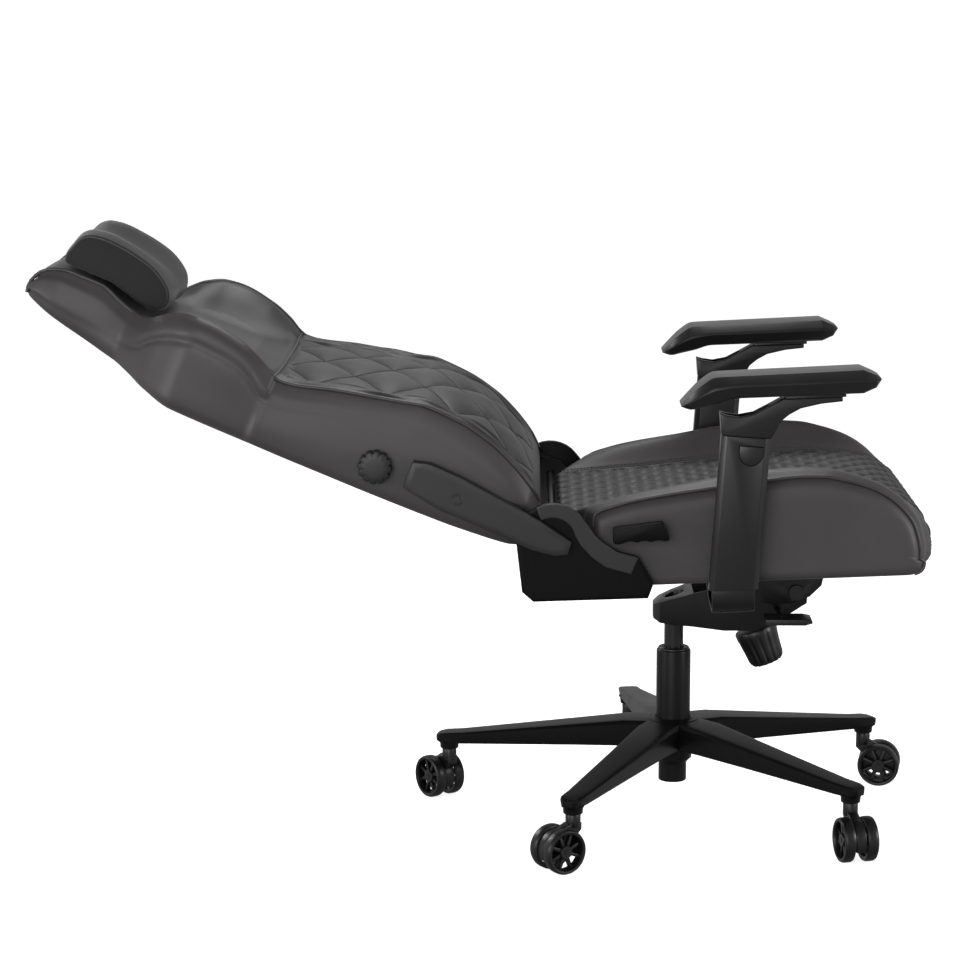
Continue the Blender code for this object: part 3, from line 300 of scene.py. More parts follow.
# ------------------------------------------------------------------ modelling
def start_fresh() -> None:
    """Leaves edit mode and lets go of every object."""
    if bpy.context.object and bpy.context.object.mode != "OBJECT":
        bpy.ops.object.mode_set(mode="OBJECT")
    bpy.ops.object.select_all(action="DESELECT")


def take(made: bpy.types.Object, editing: bool = False) -> None:
    """Selects one object alone, and opens it for editing with all of it selected if asked."""
    start_fresh()
    made.select_set(True)
    bpy.context.view_layer.objects.active = made
    if editing:
        bpy.ops.object.mode_set(mode="EDIT")
        bpy.ops.mesh.select_mode(type="FACE")
        bpy.ops.mesh.select_all(action="SELECT")


def clean(made: bpy.types.Object, merge: float = TINY) -> bpy.types.Object:
    """Merges doubled points, turns the faces outwards and leaves edit mode."""
    take(made, editing=True)
    bpy.ops.mesh.select_mode(type="VERT")
    bpy.ops.mesh.select_all(action="SELECT")
    bpy.ops.mesh.remove_doubles(threshold=merge)
    bpy.ops.mesh.normals_make_consistent(inside=False)
    bpy.ops.object.mode_set(mode="OBJECT")
    return made


def modify(made: bpy.types.Object, kind: str, **settings) -> bpy.types.Object:
    """Adds a modifier and applies it.

    Args:
        made: The object to change.
        kind: The modifier's Blender type.
        **settings: Its settings.

    Returns:
        The same object.
    """
    take(made)
    step = made.modifiers.new(kind.title(), kind)
    for key, value in settings.items():
        setattr(step, key, value)
    bpy.ops.object.modifier_apply(modifier=step.name)
    return made


def rounded(
    made: bpy.types.Object, width: float, segments: int = 3, angle: float = SHARP
) -> bpy.types.Object:
    """Rounds the edges that are sharper than an angle, by a width in metres."""
    settings = {"width": width, "segments": segments, "limit_method": "ANGLE"}
    return modify(made, "BEVEL", angle_limit=math.radians(angle), use_clamp_overlap=True, **settings)


def shaded(made: bpy.types.Object, angle: float = 32.0) -> bpy.types.Object:
    """Shades smooth, apart from edges sharper than an angle in degrees."""
    take(made)
    bpy.ops.object.shade_smooth_by_angle(angle=math.radians(angle))
    return made


def mesh_object(name: str, points: list, faces: list, edges: list | None = None) -> bpy.types.Object:
    """A linked object from points and faces."""
    mesh = bpy.data.meshes.new(name)
    mesh.from_pydata([tuple(point) for point in points], edges or [], faces)
    made = bpy.data.objects.new(name, mesh)
    bpy.context.scene.collection.objects.link(made)
    return made


def slab(name: str, outline: list, span: tuple, bevel: float = 0.0, segments: int = 3) -> bpy.types.Object:
    """An outline in X and Z, drawn out along Y, with its edges rounded.

    Args:
        name: The object's name.
        outline: Pairs of x and z.
        span: Where it starts and ends along Y.
        bevel: The width of the rounding.
        segments: Steps of the rounding.

    Returns:
        The new object, in local coordinates.
    """
    start_fresh()
    bpy.ops.mesh.primitive_circle_add(vertices=len(outline), fill_type="NGON")
    made = bpy.context.object
    made.name = name
    for vert, (x, z) in zip(made.data.vertices, outline):
        vert.co = (x, span[0], z)
    take(made, editing=True)
    bpy.ops.mesh.extrude_region_move(TRANSFORM_OT_translate={"value": (0.0, span[1] - span[0], 0.0)})
    bpy.ops.object.mode_set(mode="OBJECT")
    clean(made)
    return rounded(made, bevel, segments) if bevel else made


def turned(name: str, profile: list, steps: int = 48) -> bpy.types.Object:
    """A profile of radius and height spun about Z.

    Args:
        name: The object's name.
        profile: Pairs of radius and z. It ends on the axis, or closes on itself as a ring.
        steps: Steps round the axis.

    Returns:
        The new object, in local coordinates.
    """
    points = [(radius, 0.0, z) for radius, z in profile]
    edges = [(i, i + 1) for i in range(len(points) - 1)]
    if profile[0][0] > 0.0:
        edges.append((len(points) - 1, 0))
    made = mesh_object(name, points, [], edges)
    take(made, editing=True)
    bpy.ops.mesh.select_mode(type="EDGE")
    bpy.ops.mesh.select_all(action="SELECT")
    bpy.ops.mesh.spin(steps=steps, angle=math.tau, center=(0.0, 0.0, 0.0), axis=(0.0, 0.0, 1.0))
    bpy.ops.object.mode_set(mode="OBJECT")
    return clean(made, MERGE)


def across(made: bpy.types.Object) -> bpy.types.Object:
    """Turns a piece made along Z so that it lies along Y."""
    made.data.transform(Matrix.Rotation(-math.pi / 2, 4, "X"))
    return made


def combine(made: bpy.types.Object, other: bpy.types.Object, operation: str = "UNION") -> bpy.types.Object:
    """Welds a second solid on, or cuts it away, and removes it."""
    modify(made, "BOOLEAN", object=other, operation=operation, solver="EXACT")
    bpy.data.objects.remove(other, do_unlink=True)
    return made


def copied(made: bpy.types.Object, name: str) -> bpy.types.Object:
    """A copy with its own mesh, not yet riding on anything."""
    mesh = made.data.copy()
    mesh.name = name
    twin = bpy.data.objects.new(name, mesh)
    bpy.context.scene.collection.objects.link(twin)
    return twin


def joined_facets(node: str, name: str) -> bpy.types.Object:
    """A copy of a CAD node with its facets joined up and its edges still sharp."""
    made = copied(frame["nodes"][node], name)
    take(made, editing=True)
    bpy.ops.mesh.select_mode(type="VERT")
    bpy.ops.mesh.select_all(action="SELECT")
    bpy.ops.mesh.remove_doubles(threshold=MERGE)
    bpy.ops.mesh.dissolve_limited(angle_limit=math.radians(1.0))
    bpy.ops.mesh.customdata_custom_splitnormals_clear()
    bpy.ops.object.mode_set(mode="OBJECT")
    return made


def flat_copy(node: str, name: str) -> bpy.types.Object:
    """A copy of a CAD node, ready for its faces to be inset."""
    made = joined_facets(node, name)
    take(made, editing=True)
    bpy.ops.object.mode_set(mode="OBJECT")
    return clean(made)


def refined(node: str, name: str, bevel: float, segments: int = 3, angle: float = SHARP) -> bpy.types.Object:
    """A copy of a CAD node with its facets joined up and its edges rounded.

    Args:
        node: The CAD node.
        name: The new piece's name.
        bevel: The width of the rounding.
        segments: Steps of the rounding.
        angle: Edges sharper than this are rounded.

    Returns:
        The new object, in the chair's frame.
    """
    return shaded(rounded(clean(joined_facets(node, name)), bevel, segments, angle))


def tube(name: str, points: list, radius: float, closed: bool = False, sides: int = 3) -> bpy.types.Object:
    """A cord of one thickness along a smooth line of points.

    Args:
        name: The object's name.
        points: The points that it follows.
        radius: Half its thickness.
        closed: Whether its ends meet.
        sides: Steps in a quarter of its section.

    Returns:
        The new mesh object.
    """
    curve = bpy.data.curves.new(name, "CURVE")
    curve.dimensions = "3D"
    curve.bevel_depth = radius
    curve.bevel_resolution = sides
    curve.use_fill_caps = not closed
    line = curve.splines.new("POLY")
    line.points.add(len(points) - 1)
    for knot, point in zip(line.points, points):
        knot.co = (*point, 1.0)
    line.use_cyclic_u = closed
    made = bpy.data.objects.new(name, curve)
    bpy.context.scene.collection.objects.link(made)
    take(made)
    bpy.ops.object.convert(target="MESH")
    return shaded(clean(bpy.context.object), 60.0)


def arc(centre: tuple, radius: float, start: float, end: float, steps: int) -> list:
    """Points along an arc in the plane, with angles in degrees."""
    angles = [math.radians(start + (end - start) * i / steps) for i in range(steps + 1)]
    return [(centre[0] + radius * math.cos(a), centre[1] + radius * math.sin(a)) for a in angles]


def both(side: int, span: tuple) -> tuple:
    """A pair of distances from the middle, as low and high Y on one side."""
    return tuple(sorted((side * span[0], side * span[1])))


def through(points: tuple, at: np.ndarray) -> np.ndarray:
    """Values of a smooth curve through points, without overshoot.

    Args:
        points: Pairs of place and value, in rising order of place.
        at: The places wanted.

    Returns:
        The curve's values there.
    """
    x, y = np.array(points, float).T
    step = np.diff(x)
    slope = np.diff(y) / step
    tangent = np.concatenate(([slope[0]], np.zeros(len(x) - 2), [slope[-1]]))
    before, after = slope[:-1], slope[1:]
    rising = before * after > 0
    harmonic = 2 * before * after / np.where(rising, before + after, 1.0)
    tangent[1:-1] = np.where(rising, harmonic, 0.0)
    i = np.clip(np.searchsorted(x, at) - 1, 0, len(x) - 2)
    t = np.clip((at - x[i]) / step[i], 0.0, 1.0)
    low = (1 + 2 * t) * (1 - t) ** 2 * y[i] + t * (1 - t) ** 2 * step[i] * tangent[i]
    return low + t * t * (3 - 2 * t) * y[i + 1] + t * t * (t - 1) * step[i] * tangent[i + 1]


def smooth_step(low: float, high: float, at: np.ndarray) -> np.ndarray:
    """0 below low, 1 above high and a smooth rise between them."""
    t = np.clip((at - low) / (high - low), 0.0, 1.0)
    return t * t * (3 - 2 * t)


def ridge(distance: np.ndarray, width: float) -> np.ndarray:
    """A smooth bump that is 1 at distance 0 and fades over a width."""
    return np.exp(-((distance / width) ** 2))


def rounded_line(points: list, count: int) -> np.ndarray:
    """Evenly spaced points on a smooth line through control points.

    Args:
        points: The control points, of any dimension.
        count: How many points to give.

    Returns:
        An array of count rows.
    """
    controls = np.array(points, float)
    chord = np.concatenate(([0.0], np.cumsum(np.linalg.norm(np.diff(controls, axis=0), axis=1))))
    fine = np.linspace(0.0, chord[-1], 12 * count)
    line = np.stack([through(list(zip(chord, column)), fine) for column in controls.T], axis=1)
    run = np.concatenate(([0.0], np.cumsum(np.linalg.norm(np.diff(line, axis=0), axis=1))))
    wanted = np.linspace(0.0, run[-1], count)
    return np.stack([np.interp(wanted, run, column) for column in line.T], axis=1)


def folds(first: np.ndarray, second: np.ndarray, seed: float) -> np.ndarray:
    """Soft uneven folds, from -1 to 1, from waves that drift across each other."""
    bend = first + 1.3 * np.sin(second * 0.37 + seed)
    drift = second + 0.8 * np.sin(first * 0.53 - seed)
    total = np.sin(bend) * np.cos(drift)
    return 0.6 * total + 0.4 * np.sin(0.61 * first - 0.83 * second + 2.1 * seed)


class Sheet:
    """A closed upholstered form, held as rings of points that can be pushed along their normals."""

    def __init__(self, rings: np.ndarray) -> None:
        """Keeps the rings, in an array of ring, point and coordinate."""
        self.rings = rings

    def normals(self) -> np.ndarray:
        """Returns the surface direction at each point."""
        along = np.gradient(self.rings, axis=0)
        ahead, behind = np.roll(self.rings, -1, axis=1), np.roll(self.rings, 1, axis=1)
        normal = np.cross(along, ahead - behind)
        size = np.linalg.norm(normal, axis=2, keepdims=True)
        return normal / np.maximum(size, 1e-12)

    def push(self, amount: np.ndarray, outwards: int = 1) -> None:
        """Moves each point along its normal by an amount in metres."""
        self.rings = self.rings + outwards * self.normals() * amount[..., None]

    def build(self, name: str, place: Matrix) -> bpy.types.Object:
        """Makes the mesh: quads between the rings and a cap at each end.

        Args:
            name: The object's name.
            place: The frame that the rings are in.

        Returns:
            The new object, in the chair's frame.
        """
        rows, count, _ = self.rings.shape
        faces = []
        for row in range(rows - 1):
            low, high = row * count, (row + 1) * count
            for i in range(count):
                j = (i + 1) % count
                faces.append((low + i, low + j, high + j, high + i))
        faces.append(tuple(range(count)))
        faces.append(tuple(range((rows - 1) * count, rows * count)))
        made = mesh_object(name, self.rings.reshape(-1, 3), faces)
        made.data.transform(place)
        return shaded(clean(made), 70.0)


def stitches(
    name: str, lines: list, place: Matrix, pitch: float = 0.0050, size: float = 0.0006
) -> bpy.types.Object:
    """Thread stitches laid along lines of points.

    Args:
        name: The object's name.
        lines: Each line's points.
        place: The frame that the points are in.
        pitch: From the start of one stitch to the next.
        size: Half the thread's thickness.

    Returns:
        One object with all the stitches.
    """
    points, faces = [], []
    for line in lines:
        line = np.asarray(line, float)
        run = np.concatenate(([0.0], np.cumsum(np.linalg.norm(np.diff(line, axis=0), axis=1))))
        for i in range(int(run[-1] / pitch)):
            spans = ((i + 0.14) * pitch, (i + 0.86) * pitch)
            ends = [np.array([np.interp(at, run, column) for column in line.T]) for at in spans]
            forward = (ends[1] - ends[0]) / np.linalg.norm(ends[1] - ends[0])
            sideways = np.cross(forward, (0.31, 0.17, 0.93))
            sideways /= np.linalg.norm(sideways)
            upwards = np.cross(forward, sideways)
            first = len(points)
            for share, girth in ((0.0, 0.35), (0.2, 1.0), (0.8, 1.0), (1.0, 0.35)):
                middle = ends[0] + share * (ends[1] - ends[0])
                for k in range(5):
                    angle = math.tau * k / 5
                    spoke = math.cos(angle) * sideways + math.sin(angle) * upwards
                    points.append(middle + girth * size * spoke)
            for row in range(3):
                for k in range(5):
                    a, b = first + 5 * row + k, first + 5 * row + (k + 1) % 5
                    faces.append((a, b, b + 5, a + 5))
            faces.append(tuple(range(first, first + 5)))
            faces.append(tuple(range(first + 15, first + 20)))
    made = mesh_object(name, points, faces)
    made.data.transform(place)
    return shaded(clean(made, 1e-7), 60.0)


def hand_over(
    made: bpy.types.Object, finish: Finish, body: str, slot: Slot, *nodes: str
) -> bpy.types.Object:
    """Dresses a finished piece, makes it ride on its body and reports it.

    Args:
        made: The piece, in the chair's frame.
        finish: Its finish.
        body: The body that it moves with.
        slot: The record's material slot; not used.
        *nodes: CAD nodes that it stands for.

    Returns:
        The same piece.
    """
    made.data.materials.clear()
    made.data.materials.append(finish.build())
    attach(made, body)
    if nodes:
        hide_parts(*nodes)
    LOG.info("%s rides on %s: %d faces", made.name, body, len(made.data.polygons))
    return made


def second_finish(made: bpy.types.Object, finish: Finish, chosen: np.ndarray) -> None:
    """Gives some faces of a dressed piece a second finish.

    Args:
        made: The piece.
        finish: The second finish.
        chosen: For each face, whether it takes it.
    """
    made.data.materials.append(finish.build())
    made.data.polygons.foreach_set("material_index", chosen.astype(np.int32))


def face_centres(made: bpy.types.Object, place: Matrix) -> np.ndarray:
    """The middle of every face of a piece, in a local frame."""
    inverse = np.array(place.inverted())
    centres = np.array([face.center for face in made.data.polygons])
    return centres @ inverse[:3, :3].T + inverse[:3, 3]


def keep_node(node: str, finish: Finish) -> None:
    """Dresses a CAD node whose own shape is shown."""
    mesh = frame["nodes"][node].data
    mesh.materials.clear()
    mesh.materials.append(finish.build())
    LOG.info("%s keeps its own shape", node)


# ------------------------------------------------------------------ back
@dataclass
class BackUpholstery:
    """The back: a quilted middle between bolsters, smooth wings above it and a narrow head.

    Heights run up the back from the hinge, and depths forward from the hinge's axis.
    """

    row_pitch: float = 0.0031
    rear_points: int = 26
    side_points: int = 34
    front_points: int = 88
    seam_height: float = 0.434
    quilt_pitch: tuple = (0.097, 0.2)
    quilt_phase: float = 0.188
    quilt_puff: float = 0.0072
    quilt_edge: float = 0.197
    piping_r: float = 0.0026
    half_width: tuple = (
        (0.022, 0.236), (0.036, 0.2450), (0.055, 0.2593), (0.094, 0.2628), (0.264, 0.2632), (0.426, 0.2633),
        (0.446, 0.2650), (0.500, 0.2678), (0.550, 0.2655), (0.597, 0.2350), (0.630, 0.1950), (0.660, 0.1600),
        (0.710, 0.1480), (0.760, 0.1450), (0.788, 0.1360), (0.800, 0.1290), (0.807, 0.1220),
    )
    rear: tuple = (
        (0.022, -0.0325), (0.055, -0.0385), (0.094, -0.0415), (0.150, -0.0440), (0.264, -0.0450),
        (0.345, -0.0440), (0.446, -0.0420), (0.550, -0.0395), (0.597, -0.0325), (0.630, -0.0265),
        (0.660, -0.0230), (0.710, -0.0130), (0.760, -0.0020), (0.788, 0.0060), (0.807, 0.0125),
    )
    piping: tuple = (
        (0.022, 0.0250), (0.0331, 0.0348), (0.0553, 0.0526), (0.0939, 0.0743), (0.1292, 0.0882),
        (0.1776, 0.0981), (0.2229, 0.1004), (0.2638, 0.0924), (0.3453, 0.0752), (0.4261, 0.0568),
        (0.4393, 0.0603), (0.4615, 0.0720), (0.4958, 0.0845), (0.5415, 0.0920), (0.5700, 0.0900),
        (0.5970, 0.0790), (0.6095, 0.0690), (0.6220, 0.0590), (0.6377, 0.0530), (0.6566, 0.0540),
        (0.6740, 0.0580), (0.7105, 0.0690), (0.7550, 0.0690), (0.7810, 0.0620), (0.7930, 0.0535),
        (0.8000, 0.0460), (0.8070, 0.0370),
    )
    middle: tuple = (
        (0.022, 0.0240), (0.0331, 0.0360), (0.0553, 0.0560), (0.0939, 0.0810), (0.1500, 0.1030),
        (0.2100, 0.1105), (0.2640, 0.1020), (0.3450, 0.0810), (0.4261, 0.0600), (0.4500, 0.0520),
        (0.5000, 0.0470), (0.5970, 0.0480), (0.6300, 0.0490), (0.6600, 0.0540), (0.7105, 0.0710),
        (0.7550, 0.0715), (0.7810, 0.0650), (0.7930, 0.0560), (0.8070, 0.0400),
    )
    crease: tuple = (
        (0.0300, 0.0050), (0.0553, 0.0190), (0.0939, 0.0410), (0.1500, 0.0600), (0.2229, 0.0690),
        (0.3453, 0.0440), (0.4300, 0.0270), (0.4410, 0.0298), (0.4662, 0.0492), (0.5004, 0.0617),
        (0.5457, 0.0653), (0.5854, 0.0549), (0.6144, 0.0355), (0.6298, 0.0187), (0.6701, 0.0095),
        (0.7200, 0.0120), (0.8000, 0.0200),
    )

    def side_line(self, half: float, rear: float, front: float, edge: float, wing: float) -> np.ndarray:
        """Points of a level's side, from the rear face round to the piping, as (depth, width)."""
        deep = front - rear
        hollow = 0.0070 * wing
        line = [
            (rear + 0.0010, half - 0.030),
            (rear + 0.0050, half - 0.012 - hollow),
            (rear + 0.0150, half - 0.0030 - hollow),
            (rear + 0.40 * deep, half + 0.0010 - hollow),
            (front - 0.24 * deep, half - 0.0020),
            (front - 0.008, half - 0.0080),
            (front, edge),
        ]
        return rounded_line(line, self.side_points)

    def front_depth(self, share: np.ndarray, height: float, front: float, middle: float) -> np.ndarray:
        """The front face's depth at a level.

        Args:
            share: Distance from the middle as a share of the distance to the piping.
            height: The level.
            front: Depth at the piping.
            middle: Depth in the middle.

        Returns:
            A depth for each share.
        """
        wing = float(smooth_step(self.seam_height - 0.004, self.seam_height + 0.022, np.array(height)))
        head = float(smooth_step(0.640, 0.690, np.array(height)))
        foot = float(smooth_step(0.030, 0.080, np.array(height)))
        start = 0.20 + 0.32 * wing * (1 - head)
        rise = smooth_step(start, 1.0 - 0.06 * wing, share)
        crest = 0.0052 * foot * (1 - 0.55 * wing) * (1 - 0.6 * head)
        crest = crest * ridge(share - 0.915, 0.055) * (1 - share**24)
        seam = -0.0034 * foot * (1 - wing) * ridge(share - 0.800, 0.016)
        return middle + (front - middle) * rise + crest + seam

    def edge_of(self, height: np.ndarray) -> np.ndarray:
        """How far from the middle the piping runs at each level."""
        inset = 0.0125 + 0.0065 * smooth_step(0.45, 0.50, height) * (1 - smooth_step(0.58, 0.64, height))
        return through(self.half_width, height) - inset

    def shape(self) -> tuple:
        """Builds the rings of the back and the marks that its seams follow.

        Returns:
            The sheet, and arrays of height, width and kind of each point: 0 rear, 1 side, 2 front.
        """
        upper = np.linspace(0.7955, 0.8068, 12)
        heights = np.concatenate((np.arange(0.0250, 0.7950, self.row_pitch), upper))
        rings, kinds = [], []
        for height in heights:
            at = np.array([height])
            tables = (self.half_width, self.rear, self.piping, self.middle)
            half, rear, front, middle = (float(through(table, at)[0]) for table in tables)
            edge = float(self.edge_of(at)[0])
            share = np.linspace(0.0, 1.0, self.rear_points, endpoint=False)
            back_y = share * (half - 0.030)
            back_d = rear - 0.0025 * (1 - share**2)
            wing = float(smooth_step(0.432, 0.446, at)[0] * (1 - smooth_step(0.600, 0.670, at)[0]))
            side = self.side_line(half, rear, front, edge, wing)
            inward = np.linspace(1.0, 0.0, self.front_points + 1)[1:]
            front_d = self.front_depth(inward, height, front, middle)
            depth = np.concatenate((back_d, side[:, 0], front_d))
            width = np.concatenate((back_y, side[:, 1], inward * edge))
            ends = min((height - 0.0225) / 0.016, (0.8070 - height) / 0.0085)
            shrink = math.sqrt(max(0.0, 1 - max(0.0, 1 - ends) ** 2))
            centre = 0.5 * (rear + front)
            depth = centre + (depth - centre) * (0.30 + 0.70 * shrink)
            full = [(d, y, height) for d, y in zip(depth, width)]
            mirrored = [(d, -y, height) for d, y in zip(depth[-2:0:-1], width[-2:0:-1])]
            rings.append(full + mirrored)
            kind = [0] * self.rear_points + [1] * self.side_points + [2] * self.front_points
            kinds.append(kind + kind[-2:0:-1])
        return Sheet(np.array(rings)), np.array(kinds)

    def relief(self, rings: np.ndarray, kinds: np.ndarray) -> np.ndarray:
        """How far each point stands out: quilting, seams, creases and puckers."""
        depth, width, height = (rings[..., k] for k in range(3))
        beyond = np.abs(width)
        up, out = self.quilt_pitch
        first = (height - self.quilt_phase) / up + width / out
        second = (height - self.quilt_phase) / up - width / out
        cell = np.abs(np.sin(np.pi * first) * np.sin(np.pi * second))
        inside = smooth_step(0.0, 0.008, self.quilt_edge - beyond)
        inside = inside * smooth_step(0.0, 0.010, self.seam_height - 0.006 - height)
        inside = inside * smooth_step(0.040, 0.075, height) * (kinds == 2)
        puff = self.quilt_puff * (cell**0.42 - 0.55) * inside
        wrinkle = 0.0007 * folds(70 * width, 90 * height, 1.7) * inside * cell**0.3
        band = smooth_step(0.196, 0.206, beyond) * smooth_step(0.262, 0.244, beyond)
        band = band * (height < self.seam_height) * (kinds == 2)
        pucker = 0.0030 * folds(360 * (beyond - 0.2) + 14 * height, 40 * height, 0.6)
        pucker = pucker * band * smooth_step(0.06, 0.12, height)
        across_seam = -0.0042 * ridge(height - self.seam_height, 0.0036) * (kinds == 2)
        low = through(self.crease, height.ravel()).reshape(height.shape)
        wing = smooth_step(0.4315, 0.4365, height) * (1 - smooth_step(0.605, 0.665, height))
        panel = (kinds == 1) * (depth > low - 0.030)
        side_crease = -(0.0010 + 0.0022 * wing) * ridge(depth - low, 0.0050 + 0.002 * wing) * panel
        swell = 0.0042 * wing * smooth_step(-0.003, 0.003, depth - low) * (kinds == 1)
        slack = 0.0009 * folds(26 * depth + 9 * height, 17 * height, 3.1)
        slack = slack * (kinds == 1) * smooth_step(0.02, 0.10, height)
        head_crease = 0.0008 * folds(16 * width, 30 * height, 2.4)
        head_crease = head_crease * (kinds == 2) * (height > self.seam_height + 0.02)
        return puff + wrinkle + pucker + across_seam + side_crease + swell + slack + head_crease

    def piping_line(self, side: int) -> list:
        """The line of the edge piping on one side, from the foot to the head."""
        heights = np.linspace(0.034, 0.796, 240)
        depth = through(self.piping, heights)
        edge = self.edge_of(heights)
        line = [(d + 0.0008, side * (y + 0.0008), h) for d, y, h in zip(depth, edge, heights)]
        tail = [(0.0440, 0.1225, 0.8005), (0.0360, 0.1215, 0.8035)]
        tail += [(0.0270, 0.1210, 0.8045), (0.0180, 0.1210, 0.8030)]
        return line + [(d, side * y, h) for d, y, h in tail]

    def seam_line(self, sheet: Sheet) -> list:
        """The line of the piping across the front, below the wings."""
        row = int(np.argmin(np.abs(sheet.rings[:, 0, 2] - self.seam_height)))
        count = sheet.rings.shape[1]
        first = self.rear_points + self.side_points
        line = [sheet.rings[row][i % count] for i in range(first, first + 2 * self.front_points - 2)]
        return [(d + 0.0012, y, h) for d, y, h in line]

    def quilt_lines(self, sheet: Sheet) -> list:
        """Both rows of stitches along every quilting line, on the pushed surface."""
        depth, width, height = (sheet.rings[..., k] for k in range(3))
        rows = height[:, 0]
        count = sheet.rings.shape[1]
        first = self.rear_points + self.side_points
        front = np.arange(first, min(count // 2 + self.front_points, first + 2 * self.front_points - 1))
        up, out = self.quilt_pitch
        lines = []
        for sign in (-1, 1):
            for number in range(-4, 6):
                for offset in (-0.0021, 0.0021):
                    spots = np.arange(0.050, self.seam_height - 0.008, 0.003)
                    y = sign * (number * out - (spots - self.quilt_phase) / up * out) + offset
                    keep = np.abs(y) < self.quilt_edge - 0.003
                    line = []
                    for h, side_y in zip(spots[keep], y[keep]):
                        row = int(np.argmin(np.abs(rows - h)))
                        order = front[np.argsort(width[row, front])]
                        d = np.interp(side_y, width[row, order], depth[row, order])
                        line.append((d + 0.0003, side_y, h))
                    if len(line) > 3:
                        lines.append(line)
        return lines

    def build(self) -> None:
        """Makes the back's cover, its piping and its stitching."""
        sheet, kinds = self.shape()
        sheet.push(self.relief(sheet.rings, kinds), outwards=self.outwards(sheet))
        cover = sheet.build("back_upholstery", BACK)
        hand_over(cover, LEATHER, "backrest", Slot.LEATHER, "back_cushion")
        centres = face_centres(cover, BACK)
        # Painted shade: the quilted front faces take the darker copy of the leather.
        painted_shade_front = centres[:, 0] > 0.6 * through(self.piping, centres[:, 2])
        second_finish(cover, SHADED_QUILT_LEATHER, painted_shade_front & (np.abs(centres[:, 1]) < 0.97 * self.edge_of(centres[:, 2])))
        points = [BACK @ Vector(p) for p in self.seam_line(sheet)]
        hand_over(tube("back_seam_piping", points, 0.0019), PIPING, "backrest", Slot.LEATHER)
        for name, side in SIDES:
            points = [BACK @ Vector(p) for p in self.piping_line(side)]
            cord = tube(f"back_piping_{name}", points, self.piping_r)
            hand_over(cord, PIPING, "backrest", Slot.LEATHER)
        quilting = stitches("back_quilt_stitching", self.quilt_lines(sheet), BACK)
        hand_over(quilting, THREAD, "backrest", Slot.LEATHER)

    @staticmethod
    def outwards(sheet: Sheet) -> int:
        """1 if the sheet's normals point out of it, and -1 if they point in."""
        middle = sheet.rings.mean(axis=(0, 1))
        return 1 if np.sum(sheet.normals() * (sheet.rings - middle)) > 0 else -1


# ------------------------------------------------------------------ pillow
@dataclass
class HeadPillow:
    """The head pillow: two lobes with a dip between them, and a flat panel at each end."""

    half: float = 0.1335
    stations: int = 84
    around: int = 120
    middle: tuple = (0.0870, 0.6950)
    outline: tuple = (
        (0.0765, 0.7000), (0.0770, 0.7400), (0.0772, 0.7660), (0.0800, 0.7745), (0.0870, 0.7752),
        (0.1010, 0.7715), (0.1190, 0.7640), (0.1285, 0.7490), (0.1312, 0.7270), (0.1290, 0.7000),
        (0.1205, 0.6570), (0.1080, 0.6310), (0.0930, 0.6150), (0.0800, 0.6110), (0.0690, 0.6130),
        (0.0615, 0.6220), (0.0606, 0.6340), (0.0650, 0.6530), (0.0765, 0.7000),
    )

    def rings(self) -> np.ndarray:
        """Rings along the width: the outline sinks in the middle and closes in at the ends."""
        base = rounded_line(list(self.outline), self.around + 1)[:-1]
        result = []
        for t in np.linspace(-1.0, 1.0, self.stations):
            y = self.half * math.sin(t * math.pi / 2)
            share = abs(y) / self.half
            dip = 1 - 0.24 * ridge(np.array(share), 0.36) + 0.08 * ridge(np.array(share) - 0.62, 0.20)
            close = 1.0 - 0.10 * share**5
            end = 0.0 if share < 0.955 else (share - 0.955) / 0.045
            close *= math.sqrt(max(0.0, 1 - end**2)) * 0.9 + 0.1 if end else 1.0
            ahead = base[:, 0] - self.middle[0]
            depth = self.middle[0] + ahead * np.where(ahead > 0, dip * close, close)
            pinch = close * (1 - 0.035 * ridge(np.array(share), 0.34))
            level = self.middle[1] + (base[:, 1] - self.middle[1]) * pinch
            result.append([(d, y, z) for d, z in zip(depth, level)])
        return np.array(result)

    def build(self) -> None:
        """Makes the pillow and the seams round its ends."""
        sheet = Sheet(self.rings())
        depth, width, height = (sheet.rings[..., k] for k in range(3))
        share = np.abs(width) / self.half
        crease = -0.0030 * ridge(share - 0.90, 0.020)
        soft = 0.0011 * folds(30 * width, 26 * (depth + height), 0.9) * smooth_step(1.0, 0.8, share)
        sheet.push(crease + soft, outwards=BackUpholstery.outwards(sheet))
        pillow = sheet.build("head_pillow_cover", BACK)
        hand_over(pillow, SUEDE, "head_pillow", Slot.SUEDE, "head_pillow")
        rows = np.abs(np.abs(sheet.rings[:, 0, 1]) / self.half - 0.90)
        for name, side in SIDES:
            masked = np.where(np.sign(sheet.rings[:, 0, 1]) == side, rows, 9.0)
            seam = [BACK @ Vector(p) for p in sheet.rings[int(np.argmin(masked))]]
            cord = tube(f"pillow_piping_{name}", seam, 0.0021, closed=True)
            hand_over(cord, SUEDE, "head_pillow", Slot.SUEDE)


